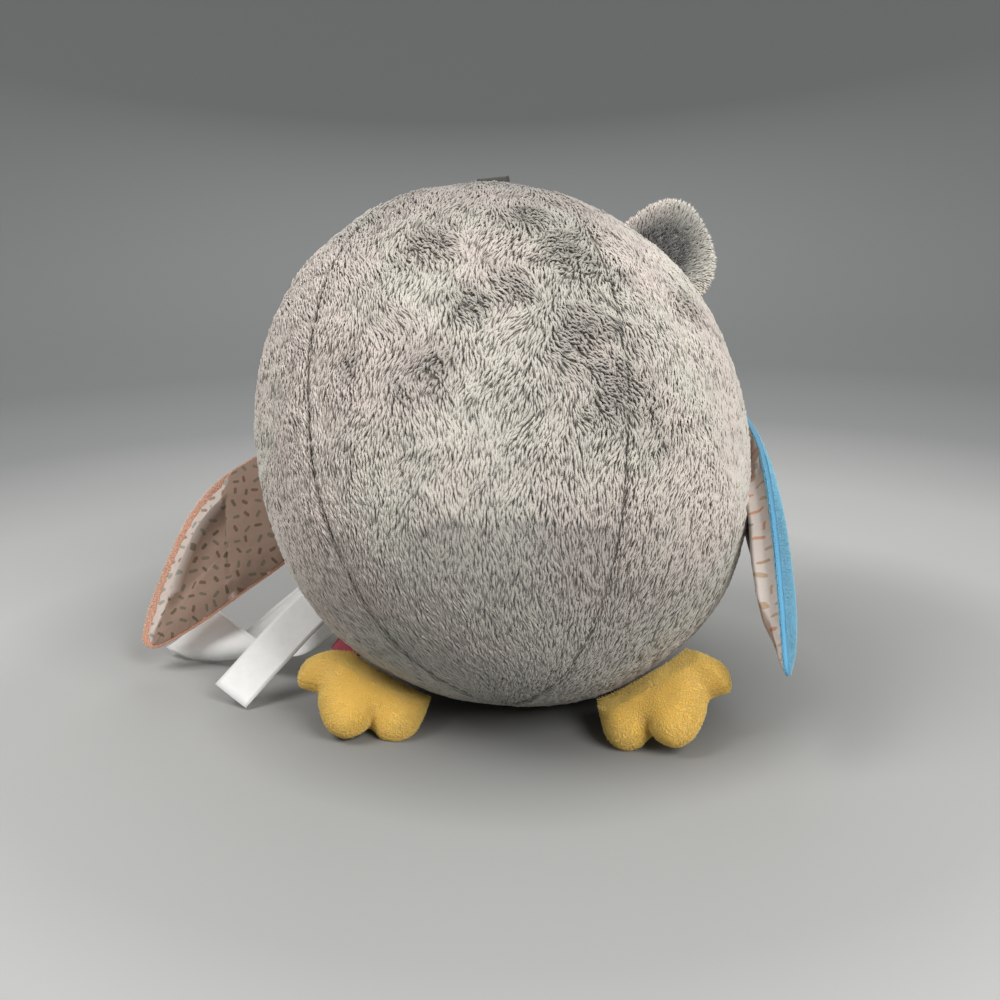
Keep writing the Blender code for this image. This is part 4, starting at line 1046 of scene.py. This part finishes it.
def lining(side_name, leaf):
    """The cotton: it swells a little with the wadding, is drawn up along its seam, and has a ridge by the free edge.

    It reaches nearly to the edge, except along the free side, where the fleece shows as a border.
    """
    body = f"{side_name}_wing"
    share = np.concatenate([np.linspace(0.04, 0.8, 18), np.linspace(0.82, 1.0, 14)])[:, None]
    free = leading(leaf)
    limit = LINING_SHARES[0] - LINING_SHARES[1] * free
    flat = leaf.centre + share[..., None] * limit[None, :, None] * (leaf.outline - leaf.centre)
    angle = np.linspace(0.0, 2.0 * math.pi, flat.shape[1], endpoint=False)[None]
    gathers = np.sin(37.0 * angle + 2.0 * np.sin(3.0 * angle)) + 0.6 * np.sin(61.0 * angle + 1.0)
    pucker = PUCKER_RISE * np.exp(-(((1.0 - share) / 0.12) ** 2)) * gathers
    ridge = RIDGE_RISE * np.exp(-(((share - RIDGE_PLACE_SHARE) / 0.055) ** 2)) * free
    hollow = HOLLOW_DEPTH * ramped((RIDGE_PLACE_SHARE - share) / 0.26) * free
    lines = np.concatenate([flat, flat[..., :1] * 0.3], axis=-1)
    rumple = 0.3 * MM * ripple(lines, 13.0 * MM, 71) * ramped((1.0 - share) * 5.0)
    height = -1.15 * MM - LINING_SWELLS[side_name] * (1.0 - share**3) - ridge + hollow - pucker + rumple
    outer = leaf.bent(flat, height)
    inner = leaf.bent(flat[::-1], height[::-1] + LINING_THICKNESS)
    hearts = leaf.hearts(height[0].mean(), height[0].mean() + LINING_THICKNESS)
    points, faces, _ = closed_rings(hearts, np.concatenate([outer, inner]))
    # Painted shade over the lining, but for a strip along its free side from just inside the ridge to the edge.
    shaded_share = ramped((1.05 - 0.37 * free[None] - share) / 0.04)
    marks = {"lining_shade": np.concatenate([[1.0], shaded_share.ravel(), shaded_share[::-1].ravel(), [1.0]])}
    centre = leaf.centre[None]
    places = np.concatenate([centre, flat.reshape(-1, 2), flat[::-1].reshape(-1, 2), centre]) * 100.0
    finish = LINING_FINISHES[side_name]
    made = sewn(f"{body}_print", (points, faces, marks), finish, body, [f"{body}_lining"], places)


for side_name, side in SIDES.items():
    seat = (side * SIDE_SEAM, WING_POLAR, side)
    root = root_edge(*seat, WING_ROOT_LENGTH, GAP + ROOT_HALF_THICKNESS)
    spots = np.array([*WING_EDGE_SHARES, WING_CENTRE_SHARES]) * np.array([WING_REACH, WING_DROP])
    sagged = root[0] + np.column_stack([spots[:, 1] + WING_SAG_SHARES[side_name] * spots[:, 0], spots[:, 0]])
    outline, curl = limb_outline(root, sagged[:-1], 8), WING_CURLS[side_name]
    leaf = Limb(*seat, WING_FOLDS[side_name], outline, sagged[-1], WING_DROP, WING_REACH, curl=curl)
    wing_fleece(side_name, leaf, crown(WING_CROWN))
    wing_batting(side_name, leaf, crown(WING_CROWN))
    lining(side_name, leaf)

# The feet
# Stuffed pillows of yellow velour with three round toes, an upper sewn to a sole. The nap is very short, and the
# needle has left tiny holes in it here and there.

FOOT_POLAR = math.radians(151.5)
FOOT_LONGITUDE = math.radians(90.0)
FOOT_ROOT_LENGTH = 29.0 * MM
FOOT_HALF_WIDTH = 18.5 * MM
FOOT_REACH = 25.5 * MM
FOOT_EDGE_SHARES = (
    (-1.06, 0.20), (-1.19, 0.44), (-1.08, 0.66), (-0.76, 0.61), (-0.56, 0.80), (-0.24, 0.99), (0.08, 0.98),
    (0.26, 0.80), (0.30, 0.66), (0.54, 0.72), (0.80, 0.66), (0.92, 0.46), (0.88, 0.20),
)
FOOT_CENTRE_SHARE = 0.35
FOOT_HALF_THICKNESS = 6.6 * MM
FOOT_FULLNESS = 4.6
FOOT_ROUNDING = 7.0 * MM
FOOT_FLEX_LIMITS = (math.radians(-40.0), math.radians(45.0))
FOLD_HALVINGS = 30
VELOUR_THICKNESS = 1.8 * MM
FOOT_FILLING_INSET = 2.2 * MM
FOOT_FILLING_SHARE = 0.7
VELOUR_REACH = 0.6 * MM
VELOUR_RISE = 0.28 * MM
VELOUR_WIDTH = 0.22 * MM
VELOUR_SPACING = 0.35 * MM

YELLOW_ROOT = (248, 198, 84)
YELLOW_TIP = (255, 222, 108)
NEEDLE_HOLE = (150, 104, 36)
yellow_velour = pile_finish("yellow_velour_nap", YELLOW_ROOT, YELLOW_TIP, spread=0.1, sheen=0.5, holes=NEEDLE_HOLE)


def foot_limb(side, fold=0.0):
    seat = (side * FOOT_LONGITUDE, FOOT_POLAR, side)
    root = root_edge(*seat, FOOT_ROOT_LENGTH, GAP + ROOT_HALF_THICKNESS)
    edge = np.array(FOOT_EDGE_SHARES) * np.array([FOOT_HALF_WIDTH, FOOT_REACH])
    centre = (0.0, FOOT_CENTRE_SHARE * FOOT_REACH)
    return Limb(*seat, fold, limb_outline(root, edge, 8), centre, FOOT_HALF_WIDTH, FOOT_REACH)


def folded_foot(side):
    """The foot with the fold, found by halving, that brings its lowest toe down to the floor."""
    low, high = FOOT_FLEX_LIMITS
    share = np.linspace(0.3, 1.0, 12)
    for _ in range(FOLD_HALVINGS):
        fold = (low + high) / 2.0
        foot = foot_limb(side, fold)
        flat = foot.flat(share)
        swell = np.maximum(crown(FOOT_HALF_THICKNESS, FOOT_FULLNESS)(share[:, None], flat[..., 1]), EDGE_HALF_THICKNESS)
        points = np.concatenate([foot.bent(flat, swell), foot.bent(flat, -swell)]) @ TIPPED.T + REST
        low, high = (fold, high) if points[..., 2].min() < -FLAT_DEPTH else (low, fold)
    return foot


def near_outline(limb, flat):
    """One on the outline, falling to nought at the rounding's depth inside it: the way to the nearest of its lines."""
    line = np.roll(limb.outline, -1, axis=0) - limb.outline
    from_start = flat[..., None, :] - limb.outline
    share = np.clip((from_start * line).sum(axis=-1) / (line**2).sum(axis=-1), 0.0, 1.0)
    away = np.linalg.norm(from_start - share[..., None] * line, axis=-1).min(axis=-1)
    return 1.0 - np.clip(away / FOOT_ROUNDING, 0.0, 1.0)


def foot(side_name):
    """Both halves of a foot and its filling, its toes pressed a little flat where they stand."""
    limb = folded_foot(SIDES[side_name])
    body = f"{side_name}_foot"
    share = np.concatenate([np.linspace(0.05, 0.8, 14), np.linspace(0.84, 1.0, 9)])
    flat = limb.flat(share)
    swell = np.maximum(crown(FOOT_HALF_THICKNESS)(near_outline(limb, flat), flat[..., 1]), 0.35 * MM)
    lines = np.concatenate([flat, flat[..., :1]], axis=-1)
    swell = swell + 0.25 * MM * ripple(lines, 9.0 * MM, 81) * ramped((1.0 - share[:, None]) * 4.0)
    for piece_name, facing in (("sole", 1.0), ("upper", -1.0)):
        outer = limb.bent(flat, facing * swell)
        inner = limb.bent(flat[::-1], facing * np.maximum(swell[::-1] - VELOUR_THICKNESS, 0.12 * MM))
        hearts = limb.hearts(facing * FOOT_HALF_THICKNESS, facing * (FOOT_HALF_THICKNESS - VELOUR_THICKNESS))
        half = closed_rings(hearts, np.concatenate([outer, inner]))
        found, normals = scatter(np.concatenate([outer, flat], axis=-1), VELOUR_SPACING, 83)
        normals *= np.sign((normals @ limb.columns[:, 2]) * facing)[:, None]
        comb = strayed(limb.way_out(found[:, 3:5]), normals, 0.5, 0.9, 84)
        size = np.random.default_rng(85).uniform(0.75, 1.2, len(found))
        nap = pile(found[:, :3], normals, comb, VELOUR_REACH * size, VELOUR_RISE * size, VELOUR_WIDTH, 86)
        name = f"{body}_{piece_name}"
        made = sewn(name + "_velour", joined(half, nap), yellow_velour, body, [name])
    share = np.linspace(0.05, FOOT_FILLING_SHARE, 8)
    flat = limb.flat(share)
    swell = crown(FOOT_HALF_THICKNESS, FOOT_FULLNESS)(share[:, None], flat[..., 1])
    swell = np.maximum(swell - FOOT_FILLING_INSET, 0.0) * ramped((FOOT_FILLING_SHARE - share[:, None]) * 6.0)
    hearts = limb.hearts(FOOT_HALF_THICKNESS - FOOT_FILLING_INSET, FOOT_FILLING_INSET - FOOT_HALF_THICKNESS)
    ball = closed_rings(hearts, np.concatenate([limb.bent(flat, swell), limb.bent(flat[::-1], -swell[::-1])]))
    made = sewn(f"{body}_filling", ball, filling_fibre, body, [f"{body}_stuffing"])


foot("left")
foot("right")

# The face
# Two discs of white felt with dark felt pupils laid on them, and a small stuffed beak of the feet's velour, all sewn
# to the face panel.

EYE_LONGITUDE = math.radians(156.0)
EYE_POLAR = math.radians(72.0)
EYE_RADIUS = 17.0 * MM
EYE_FELT = 1.2 * MM
PUPIL_RADIUS = 8.5 * MM
PUPIL_FELT = 1.0 * MM
BEAK_POLAR = math.radians(84.0)
BEAK_HALF_SIZE = (7.5 * MM, 8.5 * MM)
BEAK_RISE = 8.0 * MM
BEAK_EDGE = 1.2 * MM
BEAK_EDGE_SHARES = ((-1.0, 0.72), (0.0, 1.0), (1.0, 0.72), (0.55, -0.35), (0.0, -1.0), (-0.55, -0.35))


def felt_finish(name, dark, light):
    """Pressed felt: matted fibres of two close tones."""
    made = Finish(name, roughness=0.95, specular_ior_level=0.15, sheen_weight=0.3)
    mat = made.noise(1500.0, 5.0, 0.75)
    clump = made.noise(260.0, 3.0, 0.6)
    matted = made.maths("MULTIPLY_ADD", clump, 0.5, made.maths("MULTIPLY", mat, 0.5))
    colour = made.ramp(matted, (0.35, dark), (0.65, light))
    return made.finished(colour, made.bump(mat, 0.3 * MM, 0.8, made.bump(clump, 0.3 * MM, 0.5)))


white_felt = felt_finish("white_felt", (206, 203, 194), (240, 238, 231))
dark_felt = felt_finish("dark_felt", (26, 26, 29), (58, 58, 62))


def on_skin(longitude, polar, flat, out):
    """Places laid on the skin from (left, up) places in the tangent plane."""
    centre = skin(direction(longitude, polar))
    up = direction(longitude, polar - math.pi / 2.0)
    left = np.cross(up, unit(centre))
    return skin(centre + flat[..., :1] * left + flat[..., 1:] * up, out)


def patch(name, longitude, polar, outline, low, high, dome, finish, slot, node):
    """A patch on the skin between two heights, its outer face rounded at the edge and domed in the middle."""
    share = np.concatenate([np.linspace(0.05, 0.9, 14), np.linspace(0.92, 1.0, 6)])
    flat = share[:, None, None] * outline
    edge = np.sqrt(1.0 - ramped((share - 0.9) / 0.1) ** 2) * 0.6 + 0.4
    rise = low + (high - low) * edge + dome * np.sqrt(1.0 - share**2)
    outer = on_skin(longitude, polar, flat, np.broadcast_to(rise[:, None], flat.shape[:2]))
    inner = on_skin(longitude, polar, flat[[-1, 0]], low)
    ends = on_skin(longitude, polar, np.zeros((2, 2)), np.array([high + dome, low]))
    return sewn(name, closed_rings(ends, np.concatenate([outer, inner])), finish, "body", [node])


around = np.linspace(0.0, 2.0 * math.pi, 65)[:-1]
circle = np.column_stack([np.cos(around), np.sin(around)])
for side_name, side in SIDES.items():
    spot = (side * EYE_LONGITUDE, EYE_POLAR)
    felt = GAP + EYE_FELT
    top = felt + GAP + PUPIL_FELT
    eye, pupil = f"{side_name}_eye", f"{side_name}_pupil"
    patch(eye + "_felt", *spot, EYE_RADIUS * circle, GAP, felt, 0.0, white_felt, "white_felt", eye + "_disc")
    patch(pupil + "_felt", *spot, PUPIL_RADIUS * circle, felt, top, 0.0, dark_felt, "dark_felt", pupil)
corners = np.array(BEAK_EDGE_SHARES) * np.array(BEAK_HALF_SIZE)
beak_edge = through([*corners, corners[0]], 10)[:-1]
beak = patch(
    "beak_velour", math.pi, BEAK_POLAR, beak_edge, GAP, GAP + BEAK_EDGE, BEAK_RISE - BEAK_EDGE, yellow_velour,
    "yellow_velour", "beak",
)

# The labels
# A narrow satin label and a wide limp one under it, both sewn into the left side seam, blank, with woven edges. The
# wide one rolls over on the floor and lifts its free end.

LABEL_THICKNESS = 0.3 * MM
LABEL_SEAT = 0.5 * MM
LABEL_ROOT_SPACING = 1.2 * MM
SATIN_LABEL_POLAR = math.radians(122.0)
SATIN_LABEL_WIDTH = 12.6 * MM
SATIN_LABEL_REACH = 34.0 * MM
SATIN_LABEL_PATH_SHARES = (
    (0.0, 0.0, -0.018), (0.004, 0.05, -0.026), (0.044, 0.13, -0.097), (0.135, 0.27, -0.235), (0.29, 0.54, -0.42),
    (0.532, 0.965, -0.712),
)
SATIN_LABEL_END_SIDE = (0.89, -0.39, 0.23)
CARE_LABEL_POLAR = math.radians(122.7)
CARE_LABEL_LENGTH = 68.7 * MM
CARE_LABEL_WIDTH = 21.3 * MM
CARE_LABEL_FOLD = math.radians(-4.0)
CARE_LABEL_ROLL_START = 14.2 * MM
CARE_LABEL_ROLL_RADIUS = 3.5 * MM
CARE_LABEL_ROLL_TURN = math.radians(227.0)
CARE_LABEL_ROLL_SKEW = math.radians(58.4)


def ribbon_finish(name, colour, edge_colour, sheen, roughness, ribs):
    """Woven ribbon: fine ribs across it, a tighter woven line along each edge, and faint unevenness."""
    made = Finish(name, roughness=roughness, specular_ior_level=0.4, sheen_weight=sheen, anisotropic=0.4)
    flat = made.node("ShaderNodeUVMap", uv_map="flat").outputs[0]
    warp = made.maths("MULTIPLY", made.ribs(flat, ribs * 1.3, 0.3, "Y"), 0.5)
    woven = made.maths("ADD", made.ribs(flat, ribs, 0.3, "X"), warp)
    edge = made.ramp(made.attribute("margin"), (0.86, BLACK), (0.9, WHITE))
    cloud = made.ramp(made.noise(3.0, 4.0, 0.6, flat), (0.3, 0.97 * np.array(colour)), (0.7, colour))
    rough = made.maths("MULTIPLY_ADD", made.noise(14.0, 2.0, 0.5, flat), 0.2, roughness - 0.1)
    normal = made.bump(woven, 0.025 * MM, 0.6, made.bump(edge, 0.12 * MM, 0.6))
    return made.finished(made.mix("MIX", edge, cloud, linear(edge_colour)), normal, rough)


white_satin = ribbon_finish("white_satin_weave", (250, 249, 247), (242, 241, 238), 0.5, 0.45, 14.0)
care_satin = ribbon_finish("care_satin_weave", (240, 240, 237), (230, 230, 227), 0.1, 0.6, 11.0)


def label(name, middle, facing, lengths, widths, finish, body, node):
    """A strip between two grids half a thickness either side of its middle, with its place and margin on it."""
    points, faces, _ = shell(middle + facing / 2.0, middle - facing / 2.0)
    along, across = np.meshgrid(lengths, widths, indexing="ij")
    flat = np.tile(np.stack([along.ravel(), across.ravel()], axis=-1) * 100.0, (2, 1))
    margin = np.tile(np.abs(across / widths.max()).ravel(), 2)
    return sewn(name, (points, faces, {"margin": margin}), finish, body, [node], flat)


def strip(path, sides, width, thickness, columns=11):
    """A grid across a path, its facing vectors and its lengths, for sides given at every place of the path."""
    along = unit(np.gradient(path, axis=0))
    sides = unit(sides - along * (sides * along).sum(axis=1, keepdims=True))
    facing = np.cross(along, sides) * thickness
    widths = np.linspace(-0.5, 0.5, columns) * width
    middle = path[:, None] + sides[:, None] * widths[None, :, None]
    lengths = np.concatenate([[0.0], np.cumsum(np.linalg.norm(np.diff(path, axis=0), axis=1))])
    return middle, np.broadcast_to(facing[:, None], middle.shape), lengths, widths


path = through(SATIN_LABEL_REACH * np.array(SATIN_LABEL_PATH_SHARES), 8)
share = np.linspace(0.0, 1.0, len(path))[:, None]
sides = (1.0 - share) * np.array([1.0, 0.0, 0.0]) + share * np.array(SATIN_LABEL_END_SIDE)
middle, facing, lengths, widths = strip(path, sides, SATIN_LABEL_WIDTH, LABEL_THICKNESS)
lines = np.stack(np.broadcast_arrays(lengths[:, None], widths[None], 0.0), axis=-1)
lift = 0.5 * MM * ripple(lines, 22.0 * MM, 91) * ramped(lengths[:, None] / (8.0 * MM))
middle = middle + facing / LABEL_THICKNESS * lift[..., None]
columns, origin = seam_frame(SIDE_SEAM, SATIN_LABEL_POLAR, 1.0, GAP + LABEL_SEAT)
satin = label(
    "satin_label_ribbon", in_world(middle @ columns.T + origin), facing @ (TIPPED @ columns).T, lengths, widths,
    white_satin, "satin_label", "satin_label",
)


def rolled(along, down, columns, origin):
    """A flat rectangle rolled round an axis skewed to its width: straight, then round, then straight."""
    cos, sin = math.cos(CARE_LABEL_ROLL_SKEW), math.sin(CARE_LABEL_ROLL_SKEW)
    across = along * cos + down * sin
    beside = down * cos - along * sin
    turn = np.clip((across - CARE_LABEL_ROLL_START) / CARE_LABEL_ROLL_RADIUS, 0.0, CARE_LABEL_ROLL_TURN)
    before = np.minimum(across, CARE_LABEL_ROLL_START)
    after = across - before - CARE_LABEL_ROLL_RADIUS * turn
    reach = before + CARE_LABEL_ROLL_RADIUS * np.sin(turn) + after * np.cos(turn)
    sink = CARE_LABEL_ROLL_RADIUS * (1.0 - np.cos(turn)) + after * np.sin(turn)
    lines = np.stack([along, down, 0.0 * along], axis=-1)
    wave = 0.45 * MM * ripple(lines, 26.0 * MM, 93) * ramped(along / (12.0 * MM))
    wave += 0.9 * MM * ramped(along / CARE_LABEL_LENGTH - 0.7) / 0.3 * np.sin(down / CARE_LABEL_WIDTH * 5.0)
    facing = np.stack([np.sin(turn) * sin, np.sin(turn) * cos, np.cos(turn)], axis=-1)
    drop = LABEL_ROOT_SPACING / 2.0 - sink
    middle = np.stack([reach * sin + beside * cos, reach * cos - beside * sin, drop], axis=-1)
    return in_world((middle + facing * wave[..., None]) @ columns.T + origin), facing @ (TIPPED @ columns).T


lengths = np.linspace(0.0, CARE_LABEL_LENGTH, 111)
widths = np.linspace(-0.5, 0.5, 21) * CARE_LABEL_WIDTH
along, down = np.meshgrid(lengths, widths, indexing="ij")
middle, facing = rolled(along, down, *seam_frame(SIDE_SEAM, CARE_LABEL_POLAR, 1.0, GAP + LABEL_SEAT, CARE_LABEL_FOLD))
care = label(
    "care_label_ribbon", middle, facing * LABEL_THICKNESS, lengths, widths, care_satin, "care_label",
    "care_label",
)

# The red tab
# A short woven ribbon, folded double and caught in the seam under the labels, left plain.

RED_TAB_POLAR = math.radians(135.5)
RED_TAB_LENGTH = 7.5 * MM
RED_TAB_WIDTH = 9.0 * MM
RED_TAB_THICKNESS = 0.5 * MM
RED_TAB_SPREAD = 0.6 * MM

red_ribbon = ribbon_finish("red_ribbon_weave", (172, 72, 86), (128, 34, 46), 0.2, 0.75, 8.0)


def folded_path(length, apart, eye, start, steps):
    """Out along +Y, round a small eye at the fold and back, with the middles of the two legs apart in Z."""
    rise = np.linspace(start, length - eye, steps)
    leg = np.full(steps, apart / 2.0)
    turn = np.linspace(-math.pi / 2.0, math.pi / 2.0, 13)[1:-1]
    outward = np.concatenate([rise, length - eye + eye * np.cos(turn), rise[::-1]])
    forward = np.concatenate([-leg, eye * np.sin(turn), leg])
    return np.column_stack([0.0 * outward, outward, forward])


def folded_ribbon(name, path, width, thickness, columns, origin, finish, body):
    middle, facing, lengths, widths = strip(path, np.tile([1.0, 0.0, 0.0], (len(path), 1)), width, thickness)
    middle, facing = in_world(middle @ columns.T + origin), facing @ (TIPPED @ columns).T
    return label(name + "_ribbon", middle, facing, lengths, widths, finish, body, name)


half = RED_TAB_SPREAD / 2.0 + RED_TAB_THICKNESS
apart = RED_TAB_SPREAD + RED_TAB_THICKNESS
columns, origin = seam_frame(SIDE_SEAM, RED_TAB_POLAR, 1.0, GAP + half)
path = folded_path(RED_TAB_LENGTH, apart, apart / 2.0, -half, 9)
folded_ribbon("red_tab", path, RED_TAB_WIDTH, RED_TAB_THICKNESS, columns, origin, red_ribbon, "red_tab")

# The crown loop
# A loop of charcoal ribbon that stands at the crown, its ends caught where the panels meet.

CROWN_LOOP_HEIGHT = 7.0 * MM
CROWN_LOOP_WIDTH = 10.0 * MM
CROWN_LOOP_THICKNESS = 0.6 * MM
CROWN_LOOP_SPREAD = 0.6 * MM
CROWN_LOOP_EYE_RADIUS = 1.5 * MM
CROWN_LOOP_FOLD = math.radians(-12.0)

charcoal_ribbon = ribbon_finish("charcoal_ribbon_weave", (84, 82, 78), (70, 68, 66), 0.2, 0.8, 8.0)
half = CROWN_LOOP_SPREAD / 2.0 + CROWN_LOOP_THICKNESS
origin = skin(np.array([[0.0, 0.0, 1.0]]), GAP + math.hypot(half, half))[0]
columns = np.array([[1.0, 0.0, 0.0], [0.0, 0.0, -1.0], [0.0, 1.0, 0.0]]) @ axis_turn(0, -CROWN_LOOP_FOLD)
path = folded_path(CROWN_LOOP_HEIGHT, CROWN_LOOP_SPREAD + CROWN_LOOP_THICKNESS, CROWN_LOOP_EYE_RADIUS, -half, 9)
folded_ribbon(
    "crown_loop", path, CROWN_LOOP_WIDTH, CROWN_LOOP_THICKNESS, columns, origin, charcoal_ribbon, "crown_loop",
)
